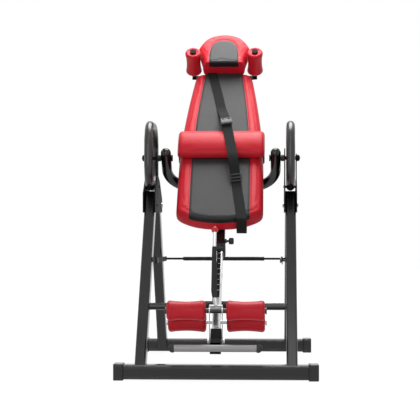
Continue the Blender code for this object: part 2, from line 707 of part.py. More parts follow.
mouth_low = SLEEVE_LOW - MOUTH_LIP
mouth_mesh = box("sleeve_mouth", (MOUTH_SIZE, MOUTH_SIZE, MOUTH_LENGTH),
                 (0, 0, mouth_low + MOUTH_LENGTH / 2), MOUTH_CORNER)
mouth = add_part("sleeve_mouth", mouth_mesh, BLACK_PLASTIC, bed_axis, at_sleeve)
pocket = SLEEVE_SIZE + 2 * GAP
cut(mouth, "mouth_pocket", box("mouth_pocket", (pocket, pocket, MOUTH_LENGTH * 2),
                               (0, 0, SLEEVE_LOW - GAP + MOUTH_LENGTH)), bed_axis, at_sleeve)
throat = BOOM_SIZE + RUN
cut(mouth, "mouth_throat", box("mouth_throat", (throat, throat, MOUTH_LENGTH * 3),
                               (0, 0, mouth_low)), bed_axis, at_sleeve)


# Backrest outline: full width to the waist, then a taper to the shoulders
def back_half(station):
    share = (station - BACK_LOW) / (BACK_HIGH - BACK_LOW)
    taper = max(0.0, (share - BACK_TAPER_START) / (1 - BACK_TAPER_START))
    return BACK_LOW_HALF - (BACK_LOW_HALF - BACK_TOP_HALF) * taper ** 1.5


middle = (BACK_LOW + BACK_HIGH) / 2
half_back = (BACK_HIGH - BACK_LOW) / 2


def back_station(across, share):
    # Rows near the two ends bow, so that the corners are drawn in.
    drop = HIGH_DROP if share > 0 else LOW_DROP
    return middle + half_back * share - math.copysign(drop, share) * abs(share) ** 6 * abs(across) ** 3


def pad_shape(across, depth, share):
    station = back_station(across, share)
    draw = 1.0 if depth == 0 else 0.965
    x = back_half(station) * across * draw
    crown = PAD_CROWN * max(abs(across) ** 4, abs(share) ** 12)
    front = PAD_FACE + crown
    y = PAD_BACK if depth > 0 else front if depth < 0 else (PAD_BACK + front) / 2
    return x, y, station


board_points = []
steps = 16
for sign in (1, -1):
    for step in range(steps + 1):
        share = sign * (step / steps * 2 - 1)
        board_points.append((sign, share))
inset = 1 - BOARD_INSET / BACK_LOW_HALF
board_outline = []
for sign, share in board_points:
    station = back_station(1, share)
    board_outline.append((sign * (back_half(station) - BOARD_INSET), middle + (station - middle) * inset))
board_mesh = outline("backrest_board", board_outline, BOARD_THICK)
board_mesh.transform(Matrix.Rotation(math.pi / 2, 4, "X"))
board_place = Matrix.Translation((0, BOARD_BACK - BOARD_THICK / 2, 0))
add_part("backrest_board", board_mesh, BOARD_WOOD, bed_axis, board_place)
soften(add_part("backrest_pad", cage("backrest_pad", (3, 1, 9), pad_shape), RED_VINYL, bed_axis))

# Head bracket: a strap up the back of the board, a crossbar and the rollers' posts
strap_front = BOARD_BACK + GAP
strap_middle = strap_front + HEAD_BAR / 2
strap = box("head_bracket", (HEAD_BAR_WIDTH, HEAD_BAR, STRAP_HIGH - STRAP_LOW),
            (0, strap_middle, (STRAP_LOW + STRAP_HIGH) / 2))
bracket = add_part("head_bracket", strap, BLACK_PAINT, bed_axis)
crossbar = box("head_crossbar", (2 * SHOULDER_HALF + HEAD_BAR_WIDTH, HEAD_BAR, HEAD_BAR_WIDTH * 0.8),
               (0, strap_middle, SHOULDER_STATION))
join(bracket, "head_crossbar", crossbar, bed_axis)
post_end = -SHOULDER_FRONT - RUN - HEAD_HEIGHT
for side, sign in SIDES:
    post_length = strap_middle - post_end
    post = cylinder("shoulder_post", POST_RADIUS, post_length,
                    (sign * SHOULDER_HALF, strap_middle - post_length / 2, SHOULDER_STATION), (0, 1, 0), 16)
    join(bracket, "shoulder_post_" + side, post, bed_axis)
    button = cylinder("shoulder_button", POST_RADIUS * 1.5, HEAD_HEIGHT,
                      (sign * SHOULDER_HALF, post_end + HEAD_HEIGHT / 2, SHOULDER_STATION), (0, 1, 0), 16)
    join(bracket, "shoulder_button_" + side, button, bed_axis)
    arm_end = HEAD_THICK - HEAD_FACE + GAP
    arm_length = strap_middle - arm_end
    arm_middle = (sign * HEAD_HALF / 2, strap_middle - arm_length / 2, SHOULDER_STATION + ARM_RISE)
    head_arm = cylinder("head_arm", POST_RADIUS, arm_length, arm_middle, (0, 1, 0), 16)
    join(bracket, "head_arm_" + side, head_arm, bed_axis)


# Headrest: flat lower edge, arched top
def head_shape(across, depth, share):
    station = (HEAD_LOW + HEAD_HIGH) / 2 + (HEAD_HIGH - HEAD_LOW) / 2 * share
    arch = HEAD_ARCH if share > 0 else HEAD_SAG
    station -= math.copysign(arch, share) * abs(share) ** 3 * abs(across) ** 2.5
    draw = 1.0 if depth == 0 else 0.93
    x = HEAD_HALF * across * draw
    crown = HEAD_CROWN * max(abs(across) ** 4, abs(share) ** 6)
    back = HEAD_THICK - HEAD_FACE
    front = -HEAD_FACE + crown
    y = back if depth > 0 else front if depth < 0 else (back + front) / 2
    return x, y, station


soften(add_part("headrest_pad", cage("headrest_pad", (3, 1, 4), head_shape), RED_VINYL, bed_axis))


# Foam rollers: a waisted barrel with rounded ends and a bore
def roller(name, radius, length, bore, steps, parent, place):
    half = length / 2
    rounding = radius * 0.28
    profile = [(radius - rounding + rounding * math.sin(angle), half - rounding + rounding * math.cos(angle))
               for angle in (0, math.pi / 4, math.pi / 2)]
    profile.append((radius - ROLLER_WAIST, 0))
    profile += [(x, -z) for x, z in reversed(profile[:3])]
    profile += [(bore, -half), (bore, half)]
    return turned(name, profile, steps, RED_FOAM, parent, place, closed=True)


for side, sign in SIDES:
    spot = Matrix.Translation((sign * SHOULDER_HALF, 0, SHOULDER_STATION))
    holder = empty("shoulder_roller_axis_" + side, bed_axis, spot)
    shift = (SHOULDER_LENGTH / 2 - SHOULDER_FRONT)
    roller("shoulder_roller_" + side, SHOULDER_RADIUS, SHOULDER_LENGTH, POST_RADIUS + RUN / 2, 18, holder,
           Matrix.Translation((0, shift, 0)) @ along((0, 1, 0)))


# Lumbar cushion and the band that holds it round the back
def lumbar_shape(across, depth, share):
    half = LUMBAR_LENGTH / 2
    turn = share * math.pi / 2
    ends = 1 - 0.16 * abs(across) ** 6
    station = half * (share if depth > 0 else math.sin(turn) if depth < 0 else share * 1.04) * ends
    if depth > 0:
        y = LUMBAR_BACK
    elif depth < 0:
        y = LUMBAR_BACK - LUMBAR_HEIGHT * max(0.35, math.cos(turn) ** 0.6) * ends
    else:
        y = LUMBAR_BACK - LUMBAR_HEIGHT * 0.3
    return LUMBAR_WIDTH / 2 * across, y, station


lumbar_axis = empty("lumbar_axis", bed_axis, Matrix.Translation((0, 0, LUMBAR_STATION)))
soften(add_part("lumbar_pad", cage("lumbar_pad", (5, 1, 3), lumbar_shape), RED_VINYL, lumbar_axis))
band_in = BACK_LOW_HALF + RUN
band_out = band_in + BAND_THICK
band_front = LUMBAR_BACK + GAP
band_inner_back = BOARD_BACK + RUN
band_back = band_inner_back + BAND_THICK
band_points = [(band_in, band_front), (band_out, band_front), (band_out, band_back), (-band_out, band_back),
               (-band_out, band_front), (-band_in, band_front), (-band_in, band_inner_back),
               (band_in, band_inner_back)]
add_part("lumbar_band", outline("lumbar_band", band_points, BAND_WIDTH), WEBBING, lumbar_axis)

# Safety belt: webbing from the shoulders over the lumbar cushion to the lower edge


def belt_lift(station):
    away = abs(station - LUMBAR_STATION) - LUMBAR_LENGTH / 2 - LUMBAR_TRAVEL
    ramp = min(1.0, max(0.0, 1 - away / BELT_RAMP))
    ramp = ramp * ramp * (3 - 2 * ramp)
    return PAD_FACE - RUN * 2 - (LUMBAR_HEIGHT + RUN) * ramp


bm = bmesh.new()
bmesh.ops.create_grid(bm, x_segments=1, y_segments=BELT_ROWS, size=1)
for vert in bm.verts:
    share = (vert.co.y + 1) / 2
    station = BACK_LOW + (BACK_HIGH - BACK_LOW) * share
    x = BELT_LOW_X + (BELT_TOP_X - BELT_LOW_X) * share
    vert.co = (x + vert.co.x * BELT_WIDTH / 2, belt_lift(station), station)
belt = add_part("safety_belt", to_mesh(bm, "safety_belt"), WEBBING, bed_axis)
skin(belt, BELT_THICK)
belt.modifiers["wall"].offset = 0
buckle_share = (BUCKLE_STATION - BACK_LOW) / (BACK_HIGH - BACK_LOW)
buckle_x = BELT_LOW_X + (BELT_TOP_X - BELT_LOW_X) * buckle_share
buckle_lift = min(belt_lift(BUCKLE_STATION - BUCKLE_LENGTH), belt_lift(BUCKLE_STATION + BUCKLE_LENGTH))
buckle_y = buckle_lift - BELT_THICK - BUCKLE_THICK / 2 - RUN
buckle = box("belt_buckle", (BUCKLE_WIDTH, BUCKLE_THICK, BUCKLE_LENGTH), (0, 0, 0), BUCKLE_CORNER)
buckle_place = Matrix.Translation((buckle_x, buckle_y, BUCKLE_STATION))
add_part("belt_buckle", buckle, BLACK_PLASTIC, bed_axis, buckle_place)

# Height pin: a turned plunger with a pull knob, resting just clear of the boom
knob_low = SLEEVE_SIZE / 2 + HOUSING_LENGTH + KNOB_CLEAR
tip = BOOM_SIZE / 2 + PIN_CLEAR
knob_high = knob_low + KNOB_LENGTH
pin_profile = ((0, knob_high), (KNOB_RADIUS - KNOB_ROUND, knob_high), (KNOB_RADIUS, knob_high - KNOB_ROUND),
               (KNOB_RADIUS, knob_low + KNOB_ROUND), (KNOB_RADIUS - KNOB_ROUND, knob_low),
               (PIN_RADIUS, knob_low), (PIN_RADIUS, tip), (0, tip))
pin_axis = empty("pin_axis", bed_axis, Matrix.Translation((0, SLEEVE_DEPTH, PIN_STATION)))
turned("height_pin", pin_profile, 20, BLACK_PLASTIC, pin_axis, ALONG_X)

# Boom: the chrome inner tube with its row of height holes
boom_axis = empty("boom_axis", bed_axis, at_sleeve)
boom = box_tube("boom_tube", BOOM_SIZE, BOOM_SIZE, BOOM_LOW, BOOM_HIGH, BOOM_WALL, BOOM_WALL * 1.5,
                CHROME, boom_axis)
for number in range(HOLE_COUNT):
    station = PIN_STATION + (number - 1) * HOLE_PITCH
    hole_middle = (BOOM_SIZE * 0.75, 0, station)
    bore = cylinder("height_hole", PIN_RADIUS + FIT, BOOM_SIZE, hole_middle, sides=8)
    cut(boom, "height_hole_%d" % number, bore, boom_axis)
axle_bore = cylinder("axle_bore", AXLE_RADIUS + GAP, BOOM_SIZE * 2, (0, 0, AXLE_STATION), sides=20)
cut(boom, "axle_bore", axle_bore, boom_axis)


def axle(name, radius, parent, place):
    half = ROLLER_GAP / 2 + ROLLER_LENGTH + RUN
    end = half + HEAD_HEIGHT
    profile = ((0, end), (AXLE_NUT, end), (AXLE_NUT, half), (radius, half),
               (radius, -half), (AXLE_NUT, -half), (AXLE_NUT, -end), (0, -end))
    return turned(name, profile, 20, ZINC if radius == AXLE_RADIUS else BLACK_PAINT, parent, place)


def ankle_rollers(prefix, radius, parent, place):
    for side, sign in SIDES:
        middle = Matrix.Translation((sign * (ROLLER_GAP + ROLLER_LENGTH) / 2, 0, 0))
        holder = empty(prefix + "_roller_axis_" + side, parent, place @ middle)
        roller(prefix + "_roller_" + side, ROLLER_RADIUS, ROLLER_LENGTH, radius + RUN / 2, 20,
               holder, ALONG_X)


at_rear_axle = Matrix.Translation((0, 0, AXLE_STATION))
axle("rear_axle", AXLE_RADIUS, boom_axis, at_rear_axle @ ALONG_X)
ankle_rollers("rear", AXLE_RADIUS, boom_axis, at_rear_axle)

# Foot block: a cup on the boom's end with a lug that grips the foot bar
BLOCK_HALF = BOOM_SIZE / 2 + GAP + BLOCK_WALL
foot_y = FOOT_DEPTH - SLEEVE_DEPTH
block_mesh = box("foot_block", (2 * BLOCK_HALF, 2 * BLOCK_HALF, BLOCK_HIGH - BLOCK_LOW),
                 (0, 0, (BLOCK_HIGH + BLOCK_LOW) / 2))
block = add_part("foot_block", block_mesh, BLACK_PLASTIC, boom_axis)
lug_radius = FOOT_RADIUS + GAP + 2 * BLOCK_WALL
lug_reach = Vector((0, foot_y, FOOT_STATION)) - Vector((0, 0, BLOCK_LOW + lug_radius))
neck_turn = math.atan2(-lug_reach.y, lug_reach.z)
neck_place = Matrix.Translation((0, 0, BLOCK_LOW + lug_radius)) @ Matrix.Rotation(neck_turn, 4, "X")
neck_length = lug_reach.length
neck = box("foot_neck", (2 * BLOCK_HALF - RUN, 2 * lug_radius - RUN, neck_length), (0, 0, neck_length / 2))
join(block, "foot_neck", neck, boom_axis, neck_place)
at_foot = Matrix.Translation((0, foot_y, FOOT_STATION))
join(block, "foot_lug", cylinder("foot_lug", lug_radius, 2 * BLOCK_HALF, sides=24), boom_axis, at_foot)
bore = cylinder("foot_bore", FOOT_RADIUS + GAP, BLOCK_HALF * 4, sides=24)
cut(block, "foot_bore", bore, boom_axis, at_foot)
boom_pocket = BOOM_SIZE + 2 * GAP
pocket_depth = 2 * (BLOCK_HIGH - BOOM_LOW)
pocket_middle = (0, 0, BOOM_LOW - GAP + pocket_depth / 2)
pocket = box("boom_pocket", (boom_pocket, boom_pocket, pocket_depth), pocket_middle)
cut(block, "boom_pocket", pocket, boom_axis)
bore = cylinder("clamp_bore", CLAMP_BOLT + FIT, BLOCK_HALF * 4, (0, 0, CLAMP_STATION), sides=16)
cut(block, "clamp_bore", bore, boom_axis)

turned("foot_bar", ring(FOOT_RADIUS - FOOT_WALL, FOOT_RADIUS, FOOT_LENGTH / 2), 24, GREY_PAINT,
       boom_axis, at_foot @ ALONG_X, closed=True)
for side, sign in SIDES:
    # Each cap is a cup over the bar's end with a rounded crown.
    inner_end = FOOT_LENGTH / 2 - FOOT_CAP_LENGTH / 2
    bar_end = FOOT_LENGTH / 2 + GAP
    outer_end = inner_end + FOOT_CAP_LENGTH + GAP
    crown = FOOT_CAP_RADIUS / 4
    cup = ((0, outer_end), (FOOT_CAP_RADIUS - crown, outer_end), (FOOT_CAP_RADIUS, outer_end - crown),
           (FOOT_CAP_RADIUS, inner_end), (FOOT_RADIUS + GAP, inner_end), (FOOT_RADIUS + GAP, bar_end),
           (0, bar_end))
    turn = ALONG_X if sign > 0 else along((-1, 0, 0))
    turned("foot_cap_" + side, cup, 24, BLACK_PLASTIC, boom_axis, at_foot @ turn)

# Ankle clamp: yoke plates hinged on the foot block, carrying the front axle and the lever
clamp_axis = empty("clamp_axis", boom_axis, Matrix.Translation((0, 0, CLAMP_STATION)))
front_y = -FRONT_AXLE_LIFT
front_z = AXLE_STATION - FRONT_AXLE_DROP - CLAMP_STATION
at_front_axle = Matrix.Translation((0, front_y, front_z))
yoke_in = BLOCK_HALF + RUN
yoke_out = yoke_in + YOKE_THICK
plate_length = math.hypot(front_y, front_z)
plate_turn = math.atan2(-front_y, front_z)
yoke_radius = YOKE_WIDTH / 2
capsule = [(point.x, point.y)
           for point in arc((0, 0, 0), (1, 0, 0), (0, 1, 0), math.pi, 2 * math.pi, yoke_radius, 8)]
capsule += [(point.x, point.y)
            for point in arc((0, plate_length, 0), (1, 0, 0), (0, 1, 0), 0, math.pi, yoke_radius, 8)]


def yoke_plate(sign):
    mesh = outline("yoke_plate", capsule, YOKE_THICK)
    mesh.transform(SIDEWAYS)
    mesh.transform(Matrix.Rotation(plate_turn, 4, "X"))
    mesh.transform(Matrix.Translation((sign * (yoke_in + YOKE_THICK / 2), 0, 0)))
    return mesh


yoke = add_part("ankle_yoke", yoke_plate(-1), CHROME, clamp_axis)
join(yoke, "yoke_plate_right", yoke_plate(1), clamp_axis)
lever_up = Vector((0, -math.sin(LEVER_LEAN), math.cos(LEVER_LEAN)))
lever_foot = Vector((0, front_y, front_z)) + lever_up * (FRONT_AXLE_RADIUS + YOKE_WIDTH / 3)
lever_place = Matrix.Translation(lever_foot) @ Matrix.Rotation(LEVER_LEAN, 4, "X")
bridge = box("yoke_bridge", (2 * yoke_out - YOKE_THICK / 2, YOKE_WIDTH * 0.8, YOKE_THICK * 2), (0, 0, 0))
join(yoke, "yoke_bridge", bridge, clamp_axis, lever_place)
# Ears carry the bridge up from the axle, in line with the lever.
ear_length = FRONT_AXLE_RADIUS + YOKE_WIDTH / 3 + YOKE_THICK
for side, sign in SIDES:
    ear = box("yoke_ear", (YOKE_THICK * 0.9, YOKE_WIDTH * 0.7, ear_length),
              (sign * (yoke_in + YOKE_THICK / 2), 0, YOKE_THICK / 2 - ear_length / 2))
    join(yoke, "yoke_ear_" + side, ear, clamp_axis, lever_place)
socket_low = -YOKE_THICK / 2
socket_middle = (0, 0, socket_low + SOCKET_LENGTH / 2)
socket = cylinder("lever_socket", SOCKET_RADIUS, SOCKET_LENGTH, socket_middle, (0, 0, 1), 20)
join(yoke, "lever_socket", socket, clamp_axis, lever_place)
rod_low = YOKE_THICK + GAP
bore_middle = (0, 0, YOKE_THICK + SOCKET_LENGTH)
bore = cylinder("lever_bore", LEVER_RADIUS + GAP, SOCKET_LENGTH * 2, bore_middle, (0, 0, 1), 20)
cut(yoke, "lever_bore", bore, clamp_axis, lever_place)
cut(yoke, "yoke_hinge_bore", cylinder("yoke_bore", CLAMP_BOLT + FIT, yoke_out * 3, sides=16), clamp_axis)
cut(yoke, "yoke_axle_bore", cylinder("yoke_bore", FRONT_AXLE_RADIUS + GAP, yoke_out * 3, sides=20),
    clamp_axis, at_front_axle)

axle("front_axle", FRONT_AXLE_RADIUS, clamp_axis, at_front_axle @ ALONG_X)
ankle_rollers("front", FRONT_AXLE_RADIUS, clamp_axis, at_front_axle)

rod_length = LEVER_LENGTH - rod_low
rod_middle = (0, 0, rod_low + rod_length / 2)
rod = cylinder("lever_rod", LEVER_RADIUS, rod_length, rod_middle, (0, 0, 1), 20)
add_part("lever_rod", rod, CHROME, clamp_axis, lever_place)
grip_half = GRIP_LENGTH / 2
grip_place = lever_place @ Matrix.Translation((0, 0, GRIP_LOW + grip_half))
grip_profile = ((GRIP_RADIUS - GRIP_ROUND, grip_half), (GRIP_RADIUS, grip_half - GRIP_ROUND),
                (GRIP_RADIUS, GRIP_ROUND - grip_half), (GRIP_RADIUS - GRIP_ROUND, -grip_half),
                (LEVER_RADIUS + GAP, -grip_half), (LEVER_RADIUS + GAP, grip_half))
turned("lever_grip", grip_profile, 20, BLACK_FOAM, clamp_axis, grip_place, closed=True)
ball_flat = math.asin(LEVER_RADIUS / BALL_RADIUS)
ball_lift = LEVER_LENGTH + GAP + BALL_RADIUS * math.cos(ball_flat)
ball_steps = 7
ball = [(BALL_RADIUS * math.sin(angle), BALL_RADIUS * math.cos(angle))
        for angle in ((math.pi - ball_flat) * step / ball_steps for step in range(ball_steps + 1))]
ball.append((0, ball[-1][1]))
turned("lever_ball", ball, 16, RED_BALL, clamp_axis, lever_place @ Matrix.Translation((0, 0, ball_lift)))

bolt_half = yoke_out + RUN
bolt_end = bolt_half + HEAD_HEIGHT
bolt_profile = ((0, bolt_end), (HEAD_RADIUS, bolt_end), (HEAD_RADIUS, bolt_half), (CLAMP_BOLT, bolt_half),
                (CLAMP_BOLT, -bolt_half), (HEAD_RADIUS, -bolt_half), (HEAD_RADIUS, -bolt_end), (0, -bolt_end))
turned("clamp_bolt", bolt_profile, 16, ZINC, boom_axis, Matrix.Translation((0, 0, CLAMP_STATION)) @ ALONG_X)
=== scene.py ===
import bmesh
import bpy
import json
import math
from mathutils import Matrix, Vector, noise
from mathutils.bvhtree import BVHTree


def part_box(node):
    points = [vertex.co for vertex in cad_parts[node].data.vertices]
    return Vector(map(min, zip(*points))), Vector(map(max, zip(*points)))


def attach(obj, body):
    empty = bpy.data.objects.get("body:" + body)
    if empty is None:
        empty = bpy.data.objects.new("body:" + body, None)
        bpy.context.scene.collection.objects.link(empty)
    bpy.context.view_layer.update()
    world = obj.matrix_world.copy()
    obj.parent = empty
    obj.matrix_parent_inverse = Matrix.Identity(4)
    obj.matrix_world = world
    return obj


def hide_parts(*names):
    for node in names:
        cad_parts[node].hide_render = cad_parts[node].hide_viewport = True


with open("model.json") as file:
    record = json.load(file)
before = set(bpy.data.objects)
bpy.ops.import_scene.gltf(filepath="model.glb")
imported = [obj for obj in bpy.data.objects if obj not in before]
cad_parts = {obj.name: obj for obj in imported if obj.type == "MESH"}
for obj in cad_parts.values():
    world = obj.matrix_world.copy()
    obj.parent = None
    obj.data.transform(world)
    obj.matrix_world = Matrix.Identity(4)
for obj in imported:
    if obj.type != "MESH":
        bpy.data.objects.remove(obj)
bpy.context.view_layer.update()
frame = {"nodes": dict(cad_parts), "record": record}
print("frame loaded,", len(frame["nodes"]), "nodes")

# where the bed hangs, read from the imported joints
joints = {joint["name"]: joint for joint in frame["record"]["behaviour"]["joints"]}
pivot = Vector(joints["bed_tilt"]["pos_m"])
alongBed = Vector(joints["lumbar_slide"]["axis"]).normalized()
recline = math.atan2(alongBed.y, alongBed.z)
bedPlace = Matrix.Translation(pivot) @ Matrix.Rotation(-recline, 4, "X")  # Z to the head, -Y to the user
toBed = bedPlace.inverted()

# where the camera stands: metres from the front floor bar, degrees, millimetres of lens and sensor
shot = {"lens": 125.6, "sensor": 36, "side": 0.194, "away": 4.996, "height": 0.575, "yaw": 2.46,
        "pitch": 0.068, "clip": 60}


def placeCamera():
    frontBar = sum(corner[1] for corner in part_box("front_base_tube")) / 2
    camera = bpy.data.objects.new("photoCamera", bpy.data.cameras.new("photoCamera"))
    camera.data.lens = shot["lens"]
    camera.data.sensor_width = shot["sensor"]
    camera.data.clip_end = shot["clip"]
    camera.location = (shot["side"], frontBar - shot["away"], shot["height"])
    camera.rotation_euler = (math.radians(90 + shot["pitch"]), 0, math.radians(shot["yaw"]))
    bpy.context.scene.collection.objects.link(camera)
    bpy.context.scene.camera = camera


# shader writing: a wire is a socket that can be reckoned with
def plug(tree, socket, value):
    if isinstance(value, Wire):
        tree.links.new(value.socket, socket)
    elif value is not None:
        if socket.type == "RGBA" and len(value) == 3:
            value = (*value, 1)
        socket.default_value = value


class Wire:
    def __init__(self, tree, socket):
        self.tree = tree
        self.socket = socket

    def reckon(self, operation, *others):
        node = self.tree.nodes.new("ShaderNodeMath")
        node.operation = operation
        for socket, value in zip(node.inputs, (self, *others)):
            plug(self.tree, socket, value)
        return Wire(self.tree, node.outputs[0])

    def __add__(self, other):
        return self.reckon("ADD", other)

    def __sub__(self, other):
        return self.reckon("SUBTRACT", other)

    def __mul__(self, other):
        return self.reckon("MULTIPLY", other)

    def __truediv__(self, other):
        return self.reckon("DIVIDE", other)

    def __rsub__(self, other):
        return self * -1 + other

    def __abs__(self):
        return self.reckon("ABSOLUTE")

    def __lt__(self, edge):
        return self.reckon("LESS_THAN", edge)

    def __gt__(self, edge):
        return self.reckon("GREATER_THAN", edge)

    __radd__ = __add__
    __rmul__ = __mul__


def addNode(tree, kind, settings=None, give=0, **sockets):
    # sockets go by name, or by number as s0, s1 and so on
    node = tree.nodes.new("ShaderNode" + kind)
    for name, value in (settings or {}).items():
        setattr(node, name, value)
    for name, value in sockets.items():
        numbered = name[0] == "s" and name[1:].isdigit()
        plug(tree, node.inputs[int(name[1:]) if numbered else name.replace("_", " ")], value)
    return Wire(tree, node.outputs[give])


class Finish:
    def __init__(self, name, **shader):
        self.material = bpy.data.materials.new(name)
        self.material.use_nodes = True
        self.tree = self.material.node_tree
        self.shader = self.tree.nodes["Principled BSDF"]
        self.put(**shader)

    def put(self, **sockets):
        for name, value in sockets.items():
            plug(self.tree, self.shader.inputs[name.replace("_", " ")], value)

    def node(self, kind, settings=None, give=0, **sockets):
        return addNode(self.tree, kind, settings, give, **sockets)

    def place(self):
        return self.node("TexCoord", give="Object")

    def axes(self, vector, letters="XYZ"):
        return [self.node("SeparateXYZ", give=axis, Vector=vector) for axis in letters]

    def speckle(self, vector, scale, detail, rough=0.5):
        return self.node("TexNoise", give="Fac", Vector=vector, Scale=scale, Detail=detail, Roughness=rough)

    def tint(self, amount, low, high):
        return self.node("Mix", {"data_type": "RGBA"}, give=2, s0=amount, s6=low, s7=high)

    def bump(self, height, strength, distance, normal=None):
        self.put(Normal=self.node("Bump", Height=height, Strength=strength, Distance=distance, Normal=normal))

    def edges(self, width):
        # how far the rounded normal leans from the true one: an edge mask, for worn paint on powder coat and
        # painted shade on chrome
        rounded = self.node("Bevel", {"samples": 4}, Radius=width)
        flat = self.node("NewGeometry", give="Normal")
        lean = self.node("VectorMath", {"operation": "DOT_PRODUCT"}, give="Value", s0=rounded, s1=flat)
        return 1 - lean


# finishes
def powderCoat(name="powderCoat", dark=(0.005, 0.005, 0.0055), pale=(0.010, 0.010, 0.011), rough=0.15,
               gloss=0.44, soften=0.0):
    f = Finish(name, Specular_IOR_Level=gloss)
    at = f.place()
    peel = f.speckle(at, 620, 3)
    cloud = f.speckle(at, 9, 3)
    worn = (f.edges(0.0012) * 6).reckon("MINIMUM", 1.0) * cloud
    coat = f.tint(cloud, dark, pale)
    f.put(Base_Color=f.tint(worn * 0.45, coat, (0.11, 0.11, 0.115)),
          Roughness=rough - 0.05 + cloud * 0.1 + peel * 0.05)
    # a softened edge catches the light as a rounded corner does
    rounded = f.node("Bevel", {"samples": 6}, Radius=soften) if soften else None
    f.bump(peel, 0.16, 0.0006, rounded)
    return f.material


def mouldedPlastic(name="mouldedPlastic", colour=(0.020, 0.020, 0.022), rough=0.44):
    f = Finish(name, Specular_IOR_Level=0.32)
    at = f.place()
    grain = f.node("TexVoronoi", give="Distance", Vector=at, Scale=1100)
    cloud = f.speckle(at, 22, 3)
    f.put(Base_Color=f.tint(cloud, colour, tuple(1.5 * part for part in colour)),
          Roughness=rough + cloud * 0.12)
    f.bump(grain, 0.14, 0.0004)
    return f.material


def sleeveFoam(name="sleeveFoam", low=(0.007, 0.007, 0.0075), high=(0.015, 0.015, 0.016), rough=0.20,
               gloss=0.6):
    f = Finish(name, Specular_IOR_Level=gloss)
    at = f.place()
    cells = f.speckle(at, 480, 4, 0.65)
    cloud = f.speckle(at, 14, 2)
    f.put(Base_Color=f.tint(cloud * 0.6 + cells * 0.4, low, high), Roughness=rough + cells * 0.22)
    f.bump(cells, 0.22, 0.0008)
    return f.material


def brightChrome(name="brightChrome", low=(0.62, 0.62, 0.64), high=(0.78, 0.78, 0.79), rough=0.07):
    f = Finish(name, Metallic=1.0)
    at = f.place()
    cloud = f.speckle(at, 30, 4)
    fine = f.speckle(f.node("Mapping", Vector=at, Scale=(1, 1, 0.04)), 900, 2)  # drawn out along the piece
    plate = f.tint(cloud, low, high)
    rim = (f.edges(0.0016) * 4).reckon("MINIMUM", 1.0)  # painted shade: chrome darkened along edges where faces turn, standing in for dark reflections
    f.put(Base_Color=f.tint(rim, plate, (0.09, 0.09, 0.10)), Roughness=rough + cloud * 0.07 + fine * 0.03)
    f.bump(fine, 0.03, 0.0003)
    return f.material


def zincPlate():
    f = Finish("zincPlate", Metallic=1.0)
    at = f.place()
    cloud = f.speckle(at, 120, 4)
    spangle = f.node("TexVoronoi", give="Distance", Vector=at, Scale=380)
    f.put(Base_Color=f.tint(cloud, (0.42, 0.43, 0.44), (0.62, 0.62, 0.63)),
          Roughness=0.24 + cloud * 0.16 + spangle * 0.06)
    f.bump(spangle, 0.05, 0.0003)
    return f.material


def greyLacquer():
    f = Finish("greyLacquer", Metallic=0.35, Coat_Roughness=0.2)
    at = f.place()
    flake = f.speckle(at, 1500, 2)
    cloud = f.speckle(at, 18, 3)
    f.put(Base_Color=f.tint(flake * 0.5 + cloud * 0.5, (0.20, 0.20, 0.205), (0.31, 0.31, 0.315)),
          Roughness=0.34 + cloud * 0.1, Coat_Weight=0.15 + cloud * 0.2)
    f.bump(flake, 0.05, 0.0003)
    return f.material


def grainHeight(f, at, scale):
    # leather-like pebbles: creases between cells, softened by noise
    cells = f.node("TexVoronoi", {"feature": "DISTANCE_TO_EDGE"}, give="Distance", Vector=at, Scale=scale)
    pebbles = (cells * 6).reckon("MINIMUM", 1.0)
    return pebbles * 0.75 + f.speckle(at, scale * 3, 2) * 0.25


def redSkin(f, at):
    return f.tint(f.speckle(at, 7, 3), (0.60, 0.010, 0.024), (0.68, 0.014, 0.030))


def redVinyl():
    f = Finish("redVinyl", Specular_IOR_Level=0.22)
    at = f.place()
    height = grainHeight(f, at, 420)
    f.put(Base_Color=redSkin(f, at), Roughness=0.34 + height * 0.12)
    f.bump(height, 0.22, 0.0007)
    return f.material


def panelVinyl(name, inside, turn, greyLow, greyHigh):
    # red cover with a sewn grey panel; inside(x, y, z) gives the panel's mask; past the turn, where the panel
    # wraps under the edge, the grey is painted near black as painted shade
    f = Finish(name, Specular_IOR_Level=0.19)
    at = f.place()
    x, y, z = f.axes(at)
    mask = inside(x, y, z)
    leather = grainHeight(f, at, 420)
    threads = (x * 2600).reckon("SINE") * (z * 2600).reckon("SINE")
    cloud = f.speckle(at, 8, 3)
    grey = f.tint(cloud * 0.5 + threads * 0.25 + 0.25, greyLow, greyHigh)
    # painted shade: the grey past the turn, on the underside, is painted near black
    grey = f.tint(y > turn, grey, (0.010, 0.010, 0.011))
    f.put(Base_Color=f.tint(mask, redSkin(f, at), grey), Roughness=0.36 + leather * 0.10 + mask * 0.06)
    f.bump(leather * (1 - mask) + threads * 0.5 * mask, 0.22, 0.0007)
    return f.material


def rollerSkin():
    f = Finish("rollerSkin", Specular_IOR_Level=0.22, Coat_Roughness=0.2)
    at = f.place()
    cells = f.speckle(at, 520, 3, 0.6)
    cloud = f.speckle(at, 16, 3)
    f.put(Base_Color=f.tint(cloud, (0.54, 0.008, 0.020), (0.65, 0.012, 0.026)), Roughness=0.40 + cells * 0.16,
          Coat_Weight=0.06 + cloud * 0.06)
    f.bump(cells, 0.16, 0.0007)
    return f.material


def ballGloss():
    f = Finish("ballGloss", Specular_IOR_Level=0.35, Coat_Roughness=0.08)
    at = f.place()
    cloud = f.speckle(at, 60, 3)
    f.put(Base_Color=f.tint(cloud, (0.58, 0.012, 0.022), (0.68, 0.018, 0.030)), Roughness=0.2 + cloud * 0.12,
          Coat_Weight=0.1 + cloud * 0.1)
    f.bump(f.speckle(at, 900, 2), 0.03, 0.0003)
    return f.material


